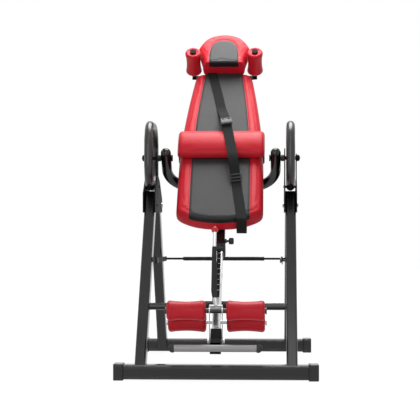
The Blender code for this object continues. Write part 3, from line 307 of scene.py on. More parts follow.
def wovenWebbing():
    f = Finish("wovenWebbing", Specular_IOR_Level=0.15)
    at = f.place()
    x, z = f.axes(at, "XZ")
    across = ((x * 2100).reckon("SINE") + 1) * 0.5
    along = ((z * 1500).reckon("SINE") + 1) * 0.5
    weave = across * 0.6 + along * across * 0.4
    fuzz = f.speckle(at, 900, 3)
    f.put(Base_Color=f.tint(weave * 0.7 + fuzz * 0.3, (0.007, 0.008, 0.0075), (0.021, 0.023, 0.022)),
          Roughness=0.72 + weave * 0.15)
    f.bump(weave + fuzz * 0.2, 0.5, 0.0008)
    return f.material


def backingCloth():
    f = Finish("backingCloth", Specular_IOR_Level=0.3)
    at = f.place()
    fibre = f.speckle(at, 340, 5, 0.7)
    quilt = f.node("TexVoronoi", give="Distance", Vector=at, Scale=260)
    f.put(Base_Color=f.tint(fibre, (0.018, 0.018, 0.019), (0.045, 0.045, 0.047)),
          Roughness=0.82 + quilt * 0.1)
    f.bump(fibre * 0.6 + quilt * 0.4, 0.35, 0.0008)
    return f.material


def sewingThread():
    f = Finish("greyThread")
    ply = f.speckle(f.place(), 1800, 2)
    f.put(Base_Color=f.tint(ply, (0.10, 0.10, 0.10), (0.20, 0.20, 0.20)), Roughness=0.65 + ply * 0.2)
    f.bump(ply, 0.3, 0.0003)
    return f.material


# mesh making
def addPiece(name, mesh, material, body, place=None, smooth=60):
    piece = bpy.data.objects.new(name, mesh)
    bpy.context.scene.collection.objects.link(piece)
    mesh.materials.clear()
    mesh.materials.append(material)
    mesh.shade_smooth()
    mesh.set_sharp_from_angle(angle=math.radians(smooth))
    if place:
        piece.matrix_world = place
    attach(piece, body)
    return piece


def meshFrom(bm, name):
    bmesh.ops.recalc_face_normals(bm, faces=bm.faces)
    mesh = bpy.data.meshes.new(name)
    bm.to_mesh(mesh)
    bm.free()
    return mesh


def cageForm(name, cuts, shape, crease=0.0):
    # a cube cut into a grid and pushed into shape; crease keeps the front edges of both ends tight
    bm = bmesh.new()
    bmesh.ops.create_cube(bm, size=2)
    for axis, count in enumerate(cuts):
        edges = [edge for edge in bm.edges if abs((edge.verts[0].co - edge.verts[1].co)[axis]) > 1e-6]
        bmesh.ops.subdivide_edges(bm, edges=edges, cuts=count, use_grid_fill=True)
    tight = bm.edges.layers.float.new("crease_edge")
    for edge in bm.edges:
        first, second = (vert.co for vert in edge.verts)
        if first.y < -0.99 and second.y < -0.99 and abs(first.z + second.z) > 1.99:
            edge[tight] = crease
    for vert in bm.verts:
        vert.co = Vector(shape(*vert.co))
    return meshFrom(bm, name)


def shaped(mesh, *modifiers):
    # the mesh as the given modifiers leave it
    holder = bpy.data.objects.new("shaping", mesh)
    bpy.context.scene.collection.objects.link(holder)
    for kind, settings in modifiers:
        modifier = holder.modifiers.new(kind, kind)
        for name, value in settings.items():
            setattr(modifier, name, value)
    graph = bpy.context.evaluated_depsgraph_get()
    result = bpy.data.meshes.new_from_object(holder.evaluated_get(graph))
    bpy.data.objects.remove(holder, do_unlink=True)
    return result


def subdivided(levels):
    return ("SUBSURF", {"levels": levels, "render_levels": levels})


# how a cover fills out: a short cloth run under air pressure
coverCloth = {"quality": 5, "mass": 0.3, "tension_stiffness": 12, "compression_stiffness": 12,
              "bending_stiffness": 0.6, "use_pressure": True, "uniform_pressure_force": 4.0,
              "vertex_group_mass": "held"}
coverFrames = 20


def inflated(mesh, voxel, cap, isHeld):
    # blow the cover up a little, as foam fills a sewn skin; held points stay on what they rest on
    mesh = shaped(mesh, ("REMESH", {"mode": "VOXEL", "voxel_size": voxel}))
    before = [(vert.co.copy(), vert.normal.copy()) for vert in mesh.vertices]
    holder = bpy.data.objects.new("inflating", mesh)
    bpy.context.scene.collection.objects.link(holder)
    held = holder.vertex_groups.new(name="held")
    held.add([vert.index for vert in mesh.vertices if isHeld(vert.co)], 1.0, "REPLACE")
    cloth = holder.modifiers.new("cover", "CLOTH")
    for setting, value in coverCloth.items():
        setattr(cloth.settings, setting, value)
    cloth.settings.effector_weights.gravity = 0
    cloth.collision_settings.use_collision = False
    cloth.point_cache.frame_start = 1
    cloth.point_cache.frame_end = coverFrames
    scene = bpy.context.scene
    for step in range(1, coverFrames + 1):
        scene.frame_set(step)
    graph = bpy.context.evaluated_depsgraph_get()
    after = [vert.co.copy() for vert in holder.evaluated_get(graph).data.vertices]
    holder.modifiers.remove(cloth)
    scene.frame_set(1)
    for vert, (start, normal), end in zip(mesh.vertices, before, after):
        vert.co = start + normal * min(cap, max(0.0, (end - start).dot(normal)))
    holder.vertex_groups.clear()
    result = shaped(mesh.copy(), subdivided(1))
    bpy.data.objects.remove(holder, do_unlink=True)
    return result


def filledPad(name, pad, shape):
    # a rounded cage filled out, kept flat where it rests and no further forward than its front
    rest, front = pad["rest"], pad.get("front", -math.inf)
    mesh = shaped(cageForm(name, pad["cuts"], shape, pad.get("crease", 0.0)), subdivided(3))
    mesh = inflated(mesh, pad["voxel"], pad["cap"], lambda co: co.y > rest - pad["held"])
    for vert in mesh.vertices:
        vert.co.y = max(front, min(vert.co.y, rest))
    return mesh


def addBlock(bm, size, centre):
    place = Matrix.Translation(centre) @ Matrix.Diagonal((*size, 1))
    bmesh.ops.create_cube(bm, size=1, matrix=place)


def lathe(name, profile, steps, loop=False):
    # profile of (radius, height) points turned about Z
    bm = bmesh.new()
    verts = [bm.verts.new((radius, 0, height)) for radius, height in profile]
    pairs = list(zip(verts, verts[1:]))
    if loop:
        pairs.append((verts[-1], verts[0]))
    edges = [bm.edges.new(pair) for pair in pairs]
    bmesh.ops.spin(bm, geom=verts + edges, cent=(0, 0, 0), axis=(0, 0, 1), dvec=(0, 0, 0),
                   angle=2 * math.pi, steps=steps, use_merge=True)
    bmesh.ops.remove_doubles(bm, verts=bm.verts, dist=0.000005)
    return meshFrom(bm, name)


def roundedEnd(radius, half, rounding, steps):
    # quarter round at the upper end of a turned form
    angles = [math.radians(90 * step / steps) for step in range(steps + 1)]
    return [(radius - rounding * (1 - math.sin(angle)), half - rounding * (1 - math.cos(angle)))
            for angle in angles]


def wobbled(mesh, radius, scale, shift):
    # hand-cut foam is never quite round
    for vert in mesh.vertices:
        grow = 1 + noise.noise(vert.co * scale + Vector((shift, 0, 0))) * foamWobble / radius
        vert.co.x *= grow
        vert.co.y *= grow
    return mesh


def pipe(name, points, radius, sides, filled=True):
    curve = bpy.data.curves.new(name, "CURVE")
    curve.dimensions = "3D"
    curve.bevel_depth = radius
    curve.bevel_resolution = sides
    curve.use_fill_caps = filled
    spline = curve.splines.new("POLY")
    spline.points.add(len(points) - 1)
    for point, place in zip(spline.points, points):
        point.co = (*place, 1)
    holder = bpy.data.objects.new(name, curve)
    bpy.context.scene.collection.objects.link(holder)
    graph = bpy.context.evaluated_depsgraph_get()
    mesh = bpy.data.meshes.new_from_object(holder.evaluated_get(graph))
    bpy.data.objects.remove(holder, do_unlink=True)
    bm = bmesh.new()
    bm.from_mesh(mesh)
    bmesh.ops.remove_doubles(bm, verts=bm.verts, dist=0.00001)
    return meshFrom(bm, name)


def arcPoints(centre, first, second, start, stop, radius, count):
    for step in range(count + 1):
        angle = math.radians(start + (stop - start) * step / count)
        yield Vector(centre) + radius * (math.cos(angle) * Vector(first) + math.sin(angle) * Vector(second))


def bentLine(half, front, back, bend, count):
    # from one side's front, round two bends at the back, to the other side's front
    line = [Vector((half, front, 0))]
    for sign, start, stop in ((1, 0, 90), (-1, 90, 0)):
        centre = (sign * (half - bend), back - bend, 0)
        line += arcPoints(centre, (sign, 0, 0), (0, 1, 0), start, stop, bend, count)
    return line + [Vector((-half, front, 0))]


def turnTo(axis):
    return Vector((0, 0, 1)).rotation_difference(Vector(axis)).to_matrix().to_4x4()


sides = (("left", -1), ("right", 1))
foamWobble = 0.0005

# backrest: cover over foam on the board, with a sewn grey panel
backrest = {"low": -0.300, "high": 0.511, "topHalf": 0.112, "lowHalf": 0.1595, "taperStart": 0.48,
            "taperPower": 1.3, "lowDrop": 0.055, "highDrop": 0.020, "rest": 0.0825, "thick": 0.0668,
            "crown": 0.006, "edge": 0.012, "endEdge": 0.004, "shoulder": 0.018, "cuts": (5, 1, 7),
            "columns": 1.8, "rows": 2.6, "crease": 0.6, "panelHalf": 0.110, "panelStart": 0.25,
            "panelTaper": 0.040, "panelFoot": 0.040, "turn": 0.0245, "seamDepth": 0.0035, "seamWidth": 0.0045,
            "seamBack": 0.015, "voxel": 0.005, "cap": 0.0025, "held": 0.006, "front": 0.0143}
# two rows of stitches beside each of the panel's seams; short is what the rows lack of the pad's length
stitches = {"length": 0.0052, "radius": 0.0005, "share": 0.36, "aside": 0.0055, "foot": 0.030, "short": 0.050,
            "proud": 0.0003, "steps": 60, "fallback": 0.02}


def crowd(value, power):
    # grid lines drawn towards the ends, so a soft form keeps full edges
    return math.copysign(1 - (1 - abs(value)) ** power, value)


def backTaper(station, start):
    share = (station - backrest["low"]) / (backrest["high"] - backrest["low"])
    return max(0.0, (share - start) / (1 - start))


def backHalf(station):
    narrow = backTaper(station, backrest["taperStart"]) ** backrest["taperPower"]
    return backrest["lowHalf"] - (backrest["lowHalf"] - backrest["topHalf"]) * narrow


def panelHalf(station):
    return backrest["panelHalf"] - backrest["panelTaper"] * backTaper(station, backrest["panelStart"]) ** 2


def backStation(across, share):
    # rows run out to bowed ends
    middle = (backrest["low"] + backrest["high"]) / 2
    if share > 0:
        end = backrest["high"] - backrest["highDrop"] * abs(across) ** 3
    else:
        end = backrest["low"] + backrest["lowDrop"] * abs(across) ** 3
    return middle + (end - middle) * abs(share)


def backShape(across, depth, share):
    column, share = crowd(across, backrest["columns"]), crowd(share, backrest["rows"])
    station = backStation(column, share)
    x = backHalf(station) * column
    front = backrest["rest"] - backrest["thick"] + backrest["crown"] * abs(across) ** 4
    if depth > 0.9:
        return x, backrest["rest"], station
    if depth > -0.9:
        return x, front + backrest["shoulder"], station
    x -= math.copysign(backrest["edge"], across) * abs(across) ** 4
    return x, front, station - math.copysign(backrest["endEdge"], share) * abs(share) ** 12


def backPanelMask(x, y, z):
    share = (z - backrest["low"]) / (backrest["high"] - backrest["low"])
    taper = ((share - backrest["panelStart"]) / (1 - backrest["panelStart"])).reckon("MAXIMUM", 0.0)
    half = backrest["panelHalf"] - taper * taper * backrest["panelTaper"]
    return (abs(x) < half) * (y < backrest["panelFoot"])  # the panel turns under the lower edge


def sinkSeam(mesh, distance, depth, width):
    # pull the cover in along a sewn line, where distance(co) is how far a point is from it
    for vert in mesh.vertices:
        away = distance(vert.co)
        vert.co.y += depth * math.exp(-(away / width) ** 2)


def surfaceOf(mesh):
    points = [vert.co.copy() for vert in mesh.vertices]
    return BVHTree.FromPolygons(points, [list(face.vertices) for face in mesh.polygons])


def frontAt(tree, x, z):
    # where a ray from the user's side meets the cover
    hit = tree.ray_cast(Vector((x, -0.5, z)), Vector((0, 1, 0)))
    return hit[0].y if hit[0] else stitches["fallback"]


def stitchRow(bm, points):
    # short thread stitches laid nose to tail along a line
    length, radius = stitches["length"], stitches["radius"]
    drawn = Matrix.Diagonal((1, 1, stitches["share"] * length / radius, 1))
    for first, second in zip(points, points[1:]):
        run = second - first
        count = max(1, round(run.length / length))
        for step in range(count):
            place = Matrix.Translation(first + run * (step + 0.5) / count) @ turnTo(run) @ drawn
            bmesh.ops.create_icosphere(bm, subdivisions=1, radius=radius, matrix=place)


def buildBackrest(finishes):
    mesh = filledPad("backrestCover", backrest, backShape)
    seamEnd = backrest["rest"] - backrest["seamBack"]

    def panelGap(co):
        return abs(abs(co.x) - panelHalf(co.z)) if co.y < seamEnd else 1.0

    sinkSeam(mesh, panelGap, backrest["seamDepth"], backrest["seamWidth"])
    piece = addPiece("backrestCover", mesh, finishes["backPanel"], "bed", bedPlace)
    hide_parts("backrest_pad")
    print("backrest:", len(mesh.vertices), "points")
    buildStitches(finishes, surfaceOf(mesh))


def buildStitches(finishes, tree):
    foot, steps = backrest["low"] + stitches["foot"], stitches["steps"]
    long = backrest["high"] - backrest["low"] - stitches["short"]
    bm = bmesh.new()
    for sign in (-1, 1):
        for offset in (-stitches["aside"], stitches["aside"]):
            points = []
            for step in range(steps + 1):
                station = foot + long * step / steps
                x = sign * (panelHalf(station) + offset)
                points.append(Vector((x, frontAt(tree, x, station) - stitches["proud"], station)))
            stitchRow(bm, points)
    mesh = meshFrom(bm, "backrestStitches")
    piece = addPiece("backrestStitches", mesh, finishes["thread"], "bed", bedPlace)
    print("stitches: 4 rows")


# headrest: arched pad with a grey insert
headrest = {"low": 0.501, "high": 0.690, "half": 0.106, "neck": 0.0835, "neckLow": 0.552, "neckHigh": 0.592,
            "face": -0.045, "rest": 0.033, "arch": 0.088, "crown": 0.006, "edge": 0.010, "endEdge": 0.002,
            "shoulder": 0.016, "cuts": (3, 1, 4), "columns": 1.6, "rows": 2.6, "crease": 0.6,
            "insertHalf": 0.058, "insertTop": 0.634, "insertFoot": 0.530, "insertTurn": -0.019,
            "insertPower": 2.5, "turn": -0.0365, "seamDepth": 0.0025, "seamWidth": 0.0035, "voxel": 0.004,
            "cap": 0.0015, "held": 0.004}


def headHalf(station):
    grow = (station - headrest["neckLow"]) / (headrest["neckHigh"] - headrest["neckLow"])
    grow = min(1.0, max(0.0, grow))
    return headrest["neck"] + (headrest["half"] - headrest["neck"]) * grow * grow * (3 - 2 * grow)


def headShape(across, depth, share):
    column, share = crowd(across, headrest["columns"]), crowd(share, headrest["rows"])
    top = headrest["high"] - headrest["arch"] * (1 - math.sqrt(1 - column * column))
    station = headrest["low"] + (top - headrest["low"]) * (share + 1) / 2
    x = headHalf(station) * column
    front = headrest["face"] + headrest["crown"] * max(abs(across) ** 4, max(0.0, share) ** 12)
    if depth > 0.9:
        return x, headrest["rest"], station
    if depth > -0.9:
        return x, front + headrest["shoulder"], station
    x -= math.copysign(headrest["edge"], across) * abs(across) ** 4
    if share > 0.5:
        station -= headrest["edge"]
    elif share < -0.9:
        station += headrest["endEdge"]
    return x, front, station


def insertSize():
    return headrest["insertHalf"], headrest["insertTop"] - headrest["insertFoot"]


def headInsertMask(x, y, z):
    half, tall = insertSize()
    up = ((z - headrest["insertFoot"]) / tall).reckon("MAXIMUM", 0.0)
    power = headrest["insertPower"]
    reach = abs(x / half).reckon("POWER", power) + up.reckon("POWER", power)
    return (reach < 1.0) * (y < headrest["insertTurn"])


def headInsertGap(co):
    # rough distance to the insert's sewn outline
    half, tall = insertSize()
    up = max(0.0, (co.z - headrest["insertFoot"]) / tall)
    power = headrest["insertPower"]
    reach = (abs(co.x / half) ** power + up ** power) ** (1 / power)
    return abs(reach - 1) * half if co.y < 0 else 1.0


def buildHeadrest(finishes):
    mesh = filledPad("headrestCover", headrest, headShape)
    sinkSeam(mesh, headInsertGap, headrest["seamDepth"], headrest["seamWidth"])
    piece = addPiece("headrestCover", mesh, finishes["headPanel"], "bed", bedPlace)
    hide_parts("headrest_pad")
    print("headrest:", len(mesh.vertices), "points")


# lumbar cushion: half-round bolster with drawn ends
lumbar = {"station": 0.076, "length": 0.130, "height": 0.046, "width": 0.328, "rest": 0.0151, "edge": 0.006,
          "drawn": 0.05, "skirt": 0.3, "bulge": 1.06, "lowerRise": 0.65, "upperRise": 0.4, "cuts": (5, 1, 5),
          "columns": 2.2, "voxel": 0.0045, "cap": 0.002, "held": 0.004, "front": -0.0345}


def lumbarShape(across, depth, share):
    half = lumbar["length"] / 2
    turn = share * math.pi / 2
    ends = 1 - lumbar["drawn"] * abs(across) ** 8
    x = lumbar["width"] / 2 * crowd(across, lumbar["columns"])
    if depth > 0.9:
        return x, lumbar["rest"], half * share * ends + lumbar["station"]
    if depth > -0.9:
        skirt = lumbar["rest"] - lumbar["height"] * lumbar["skirt"]
        return x, skirt, half * share * lumbar["bulge"] * ends + lumbar["station"]
    x -= math.copysign(lumbar["edge"], across) * abs(across) ** 8
    least = lumbar["lowerRise"] if share < 0 else lumbar["upperRise"]
    rise = lumbar["height"] * max(least, math.cos(turn) ** 0.5)
    return x, lumbar["rest"] - rise * ends, half * math.sin(turn) * ends + lumbar["station"]


def buildLumbar(finishes):
    mesh = filledPad("lumbarCushion", lumbar, lumbarShape)
    piece = addPiece("lumbarCushion", mesh, finishes["redVinyl"], "lumbar", bedPlace)
    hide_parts("lumbar_pad")
    print("lumbar:", len(mesh.vertices), "points")


# flat webbing along a line: two skins with thinned selvedges
selvedge = {"columns": 6, "thinned": 0.12}


def ribbon(name, line, across, thick):
    columns = selvedge["columns"]
    bm = bmesh.new()
    rows = []
    length = sum((second - first).length for first, second in zip(line, line[1:]))
    for index, point in enumerate(line):
        before, after = line[max(0, index - 1)], line[min(len(line) - 1, index + 1)]
        out = across.cross(after - before).normalized()
        row = []
        for skin in (1, -1):
            for column in range(columns + 1):
                share = column / columns * 2 - 1
                thin = thick / 2 * (1 - selvedge["thinned"] * abs(share) ** 8)
                row.append(bm.verts.new(point + across * share / 2 + out * skin * thin))
        rows.append(row)
    wide = columns + 1
    for first, second in zip(rows, rows[1:]):
        for column in range(columns):
            bm.faces.new((first[column], first[column + 1], second[column + 1], second[column]))
            under = wide + column
            bm.faces.new((first[under], second[under], second[under + 1], first[under + 1]))
        for side in (0, columns):
            bm.faces.new((first[side], second[side], second[wide + side], first[wide + side]))
    for row in (rows[0], rows[-1]):
        for column in range(columns):
            bm.faces.new((row[column], row[column + 1], row[wide + column + 1], row[wide + column]))
    return meshFrom(bm, name), length


# the band round the back that carries the lumbar cushion
band = {"half": 0.1605, "thick": 0.002, "front": 0.0154, "back": 0.0855, "width": 0.040, "corner": 0.010}


def buildBand(finishes):
    middle = band["thick"] / 2
    line = bentLine(band["half"] + middle, band["front"], band["back"] + middle, band["corner"], 8)
    mesh, length = ribbon("lumbarBand", line, Vector((0, 0, band["width"])), band["thick"])
    mesh.transform(Matrix.Translation((0, 0, lumbar["station"])))
    piece = addPiece("lumbarBand", mesh, finishes["webbing"], "lumbar", bedPlace)
    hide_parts("lumbar_band")
    print("band:", round(length, 3), "m")


# safety belt: webbing laid over the cushion, with a buckle and a slide adjuster
belt = {"low": -0.295, "high": 0.505, "lowX": 0.081, "topX": -0.047, "bow": 0.036, "width": 0.037,
        "thick": 0.0018, "rows": 120, "face": 0.0127, "rise": 0.0495, "ramp": 0.140, "travel": 0.020,
        "corner": 0.012, "slack": 0.016, "tail": 0.065, "behind": 0.087, "nearby": 0.005,
        "buckle": 0.155, "buckleLength": 0.034, "buckleWidth": 0.043, "buckleLift": 0.0075,
        "slide": -0.104, "slideLength": 0.030, "slideWidth": 0.044, "slideBar": 0.005, "slideThick": 0.003,
        "slideLift": 0.0028}


def beltLift(station):
    away = abs(station - lumbar["station"]) - lumbar["length"] / 2 - belt["travel"]
    ramp = min(1.0, max(0.0, 1 - away / belt["ramp"]))
    return belt["face"] - belt["rise"] * ramp * ramp * (3 - 2 * ramp)


def beltX(station):
    share = (station - belt["low"]) / (belt["high"] - belt["low"])
    return belt["lowX"] + (belt["topX"] - belt["lowX"]) * share + belt["bow"] * share * (1 - share)


def slideForm():
    # a moulded ladder: a rounded plate with two slots for the webbing
    wide, tall, bar = belt["slideWidth"], belt["slideLength"], belt["slideBar"]
    bm = bmesh.new()
    marks = (-wide / 2, -wide / 2 + bar, wide / 2 - bar, wide / 2)
    heights = (-tall / 2, -tall / 2 + bar, -bar * 0.6, bar * 0.6, tall / 2 - bar, tall / 2)
    for column in range(3):
        for row in range(5):
            if column == 1 and row in (1, 3):
                continue
            corners = ((marks[column], heights[row]), (marks[column + 1], heights[row]),
                       (marks[column + 1], heights[row + 1]), (marks[column], heights[row + 1]))
            bm.faces.new([bm.verts.new((x, 0, z)) for x, z in corners])
    bmesh.ops.remove_doubles(bm, verts=bm.verts, dist=0.00001)
    return shaped(meshFrom(bm, "beltSlide"), ("SOLIDIFY", {"thickness": belt["slideThick"], "offset": 0.0}),
                  ("BEVEL", {"width": bar * 0.28, "segments": 3, "limit_method": "ANGLE"}))


def alongBelt(station, lift):
    # a place on the belt, turned to lie with it
    near, far = station - belt["nearby"], station + belt["nearby"]
    run = Vector((beltX(far) - beltX(near), beltLift(far) - beltLift(near), far - near)).normalized()
    out = run.cross(Vector((1, 0, 0))).normalized()
    turn = Matrix((out.cross(run), out, run)).transposed().to_4x4()
    return Matrix.Translation(Vector((beltX(station), beltLift(station), station)) - out * lift) @ turn


def buckleForm():
    # side-release buckle: a socket, a two-pronged plug and the cross bars that hold the webbing
    wide, tall = belt["buckleWidth"], belt["buckleLength"]
    bm = bmesh.new()
    addBlock(bm, (wide * 0.94, 0.0105, tall * 0.46), (0, 0, -tall * 0.07))
    addBlock(bm, (wide, 0.008, tall * 0.12), (0, 0, -tall * 0.36))
    addBlock(bm, (wide, 0.008, tall * 0.12), (0, 0, tall * 0.36))
    for sign in (-1, 1):
        addBlock(bm, (wide * 0.10, 0.0075, tall * 0.22), (sign * wide * 0.41, 0, tall * 0.25))
        addBlock(bm, (wide * 0.07, 0.0065, tall * 0.30), (sign * wide * 0.485, 0, -tall * 0.06))
        addBlock(bm, (wide * 0.10, 0.007, tall * 0.14), (sign * wide * 0.43, 0, -tall * 0.27))
    addBlock(bm, (wide * 0.30, 0.0075, tall * 0.22), (0, 0, tall * 0.25))
    mesh = meshFrom(bm, "beltBuckle")
    return shaped(mesh, ("REMESH", {"mode": "VOXEL", "voxel_size": 0.0007}),
                  ("SMOOTH", {"factor": 0.5, "iterations": 6}))


def buildBelt(finishes):
    wrap = backStation(belt["lowX"] / backrest["lowHalf"], -1) - belt["slack"]
    last, corner = wrap + belt["corner"], belt["corner"]
    stations = [belt["high"] + (last - belt["high"]) * row / belt["rows"] for row in range(belt["rows"] + 1)]
    line = [Vector((beltX(station), beltLift(station), station)) for station in stations]
    turns = ((beltLift(last) + corner, 190, 270), (belt["behind"] - corner, 270, 360))
    for lift, start, stop in turns:
        line += arcPoints((belt["lowX"], lift, last), (0, 1, 0), (0, 0, 1), start, stop, corner, 8)
    line.append(Vector((belt["lowX"], belt["behind"], wrap + belt["tail"])))
    mesh, length = ribbon("safetyBelt", line, Vector((belt["width"], 0, 0)), belt["thick"])
    strap = addPiece("safetyBelt", mesh, finishes["webbing"], "bed", bedPlace)
    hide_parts("safety_belt")
    buckle = addPiece("beltBuckle", buckleForm(), finishes["bucklePlastic"], "bed",
                      bedPlace @ alongBelt(belt["buckle"], belt["buckleLift"]), 35)
    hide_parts("belt_buckle")
    slide = addPiece("beltSlide", slideForm(), finishes["plastic"], "bed",
                     bedPlace @ alongBelt(belt["slide"], belt["slideLift"]), 35)
    print("belt:", round(length, 3), "m")


# foam rollers: soft waisted barrels with pressed ends; a spot is across, depth and station on the bed
rollers = {"front": {"radius": 0.035, "length": 0.131, "bore": 0.00975, "spot": (0.10125, 0.030, -0.717),
                     "axis": (1, 0, 0)},
           "rear": {"radius": 0.035, "length": 0.131, "bore": 0.0080, "spot": (0.10125, 0.110, -0.700),
                    "axis": (1, 0, 0)},
           "shoulder": {"radius": 0.0315, "length": 0.104, "bore": 0.00875, "spot": (0.1225, 0.0, 0.552),
                        "axis": (0, 1, 0)}}
rollerSoft = {"waist": 0.004, "rounding": 0.30, "rim": 1.15, "rimDip": 0.2, "face": 0.5, "dimple": 0.0025,
              "lip": 0.002, "chamfer": 0.0015, "noise": 26, "seedStep": 7.3}


def rollerForm(name, radius, length, bore, seed):
    half, rounding = length / 2, radius * rollerSoft["rounding"]
    corner = roundedEnd(radius, half, rounding, 8)
    profile = list(corner)
    for step in range(1, 24):
        share = 1 - step / 12
        profile.append((radius - rollerSoft["waist"] * (1 - share * share), (half - rounding) * share))
    profile += [(x, -z) for x, z in reversed(corner)]
    dimple = rollerSoft["dimple"]
    inward = [(radius - rounding * rollerSoft["rim"], half - dimple * rollerSoft["rimDip"]),
              (radius * rollerSoft["face"], half - dimple), (bore + rollerSoft["lip"], half - dimple),
              (bore, half - dimple - rollerSoft["chamfer"])]
    profile += [(x, -z) for x, z in inward] + inward[::-1]
    mesh = lathe(name, profile, 64, loop=True)
    return wobbled(mesh, radius, rollerSoft["noise"], seed * rollerSoft["seedStep"])


def buildRollers(finishes):
    seed = 0
    for side, sign in sides:
        for kind, roller in rollers.items():
            seed += 1
            mesh = rollerForm(kind + "Roller", roller["radius"], roller["length"], roller["bore"], seed)
            across, depth, station = roller["spot"]
            spot = Matrix.Translation((sign * across, depth, station)) @ turnTo(roller["axis"])
            piece = addPiece(kind + "Roller." + side, mesh, finishes["rollerSkin"], kind + "_roller_" + side,
                             bedPlace @ spot)
            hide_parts(kind + "_roller_" + side)
    print("rollers:", seed)


# foam on the handrails: a loop with a gap below
handrail = {"across": 0.259, "reach": 0.140, "low": 0.669, "high": 0.895, "bend": 0.085, "foam": 0.016,
            "split": 0.020, "rounding": 0.003, "step": 0.012, "arcSteps": 14, "wrinkle": 0.0006, "noise": 34,
            "seedStep": 3.1}


def railLine():
    low, high, bend, split = handrail["low"], handrail["high"], handrail["bend"], handrail["split"]
    near, far = pivot.y - handrail["reach"], pivot.y + handrail["reach"]
    corners = ((far - bend, low + bend, -90), (far - bend, high - bend, 0), (near + bend, high - bend, 90),
               (near + bend, low + bend, 180))
    points = [Vector((0, pivot.y + split, low))]
    for y, z, start in corners:
        arc = list(arcPoints((0, y, z), (0, 1, 0), (0, 0, 1), start, start + 90, bend, handrail["arcSteps"]))
        points += evenRun(points[-1], arc[0])[1:-1] + arc
    return points + evenRun(points[-1], Vector((0, pivot.y - split, low)))[1:]


def evenRun(first, last):
    count = max(1, round((last - first).length / handrail["step"]))
    return [first.lerp(last, index / count) for index in range(count + 1)]


def buildHandrails(finishes):
    for side, sign in sides:
        mesh = pipe("handrailFoam", railLine(), handrail["foam"], 7)
        mesh = shaped(mesh, ("BEVEL", {"width": handrail["rounding"], "segments": 3, "limit_method": "ANGLE",
                                       "angle_limit": 1.0}))
        for vert in mesh.vertices:
            spot = vert.co * handrail["noise"] + Vector((sign * handrail["seedStep"], 0, 0))
            swell = noise.noise(spot) * handrail["wrinkle"]
            vert.co += vert.normal * (swell - handrail["wrinkle"])
        piece = addPiece("handrailFoam." + side, mesh, finishes["foam"], "frame",
                         Matrix.Translation((sign * handrail["across"], 0, 0)))
        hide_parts("handrail_foam_" + side)
    print("handrails: 2")


# bumper on the crossbar and sleeve on the stay rod, both along X: node, bore and body
sleeves = {"crossbarBumper": ("crossbar_bumper", 0.0128, "frame"),
           "staySleeve": ("stay_sleeve", 0.0043, "stay")}
sleeveSoft = {"rounding": 0.004, "wallShare": 0.6, "pitch": 0.008, "noise": 40}


def foamSleeve(name, radius, bore, length, seed):
    half, soft = length / 2, min(sleeveSoft["rounding"], (radius - bore) * sleeveSoft["wallShare"])
    corner = roundedEnd(radius, half, soft, 5)
    count = max(6, round(length / sleeveSoft["pitch"]))
    profile = corner + [(radius, (half - soft) * (1 - 2 * step / count)) for step in range(1, count)]
    profile += [(x, -z) for x, z in reversed(corner)] + [(bore, -half), (bore, half)]
    return wobbled(lathe(name, profile, 40, loop=True), radius, sleeveSoft["noise"], seed)


def midOf(node):
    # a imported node's middle and its size
    low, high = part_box(node)
    return (Vector(low) + Vector(high)) / 2, Vector(high) - Vector(low)


def buildFoamSleeves(finishes):
    for name, (node, bore, body) in sleeves.items():
        middle, size = midOf(node)
        mesh = foamSleeve(name, size.z / 2, bore, size.x, len(name))
        piece = addPiece(name, mesh, finishes["gripFoam"], body,
                         Matrix.Translation(middle) @ turnTo((1, 0, 0)))
        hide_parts(node)
    print("foam sleeves: 2")


# lever: a rod from the yoke's socket, with a ribbed grip below a red ball
lever = {"lean": 15, "rodRadius": 0.0065, "rodStep": 0.005, "side": 0.0095, "ramp": 0.055, "socket": 0.0112,
         "gripRadius": 0.0085, "gripBore": 0.0068, "gripLength": 0.206, "gripRounding": 0.002, "lip": 0.0006,
         "rib": 0.0005, "ribs": 32, "ribSteps": 6}


def leverLine():
    # foot of the rod, its direction and its length
    lean = math.radians(lever["lean"])
    up = bedPlace.to_3x3() @ Vector((0, -math.sin(lean), math.cos(lean)))
    middle = midOf("lever_rod")[0]
    heights = [(vert.co - middle).dot(up) for vert in frame["nodes"]["lever_rod"].data.vertices]
    return middle + up * min(heights), up, max(heights) - min(heights)


def cranked(height):
    # the lever steps aside above its socket, so that the scale beside it can be read
    return -lever["side"] * min(1.0, max(0.0, height / lever["ramp"]))


def buildLever(finishes):
    foot, up, length = leverLine()
    count = round(length / lever["rodStep"])
    wall = [(lever["rodRadius"], length * step / count) for step in range(count + 1)]
    mesh = lathe("leverRod", [(0, 0), *wall, (0, length)], 32)
    for vert in mesh.vertices:
        vert.co.x += cranked(vert.co.z)
    rod = addPiece("leverRod", mesh, finishes["chrome"], "ankle_clamp",
                   Matrix.Translation(foot) @ turnTo(up), 35)
    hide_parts("lever_rod")

    def socketMove(co):
        height = (co - foot).dot(up)
        away = (co - foot - up * height).length
        return co + Vector((cranked(height) if away < lever["socket"] else 0, 0, 0))

    redrawn("ankleYoke", "ankle_yoke", "ankle_clamp", finishes["satinChrome"], socketMove)
    redrawn("leverBall", "lever_ball", "ankle_clamp", finishes["ball"],
            lambda co: co - Vector((lever["side"], 0, 0)))
    buildLeverGrip(finishes, foot, up)


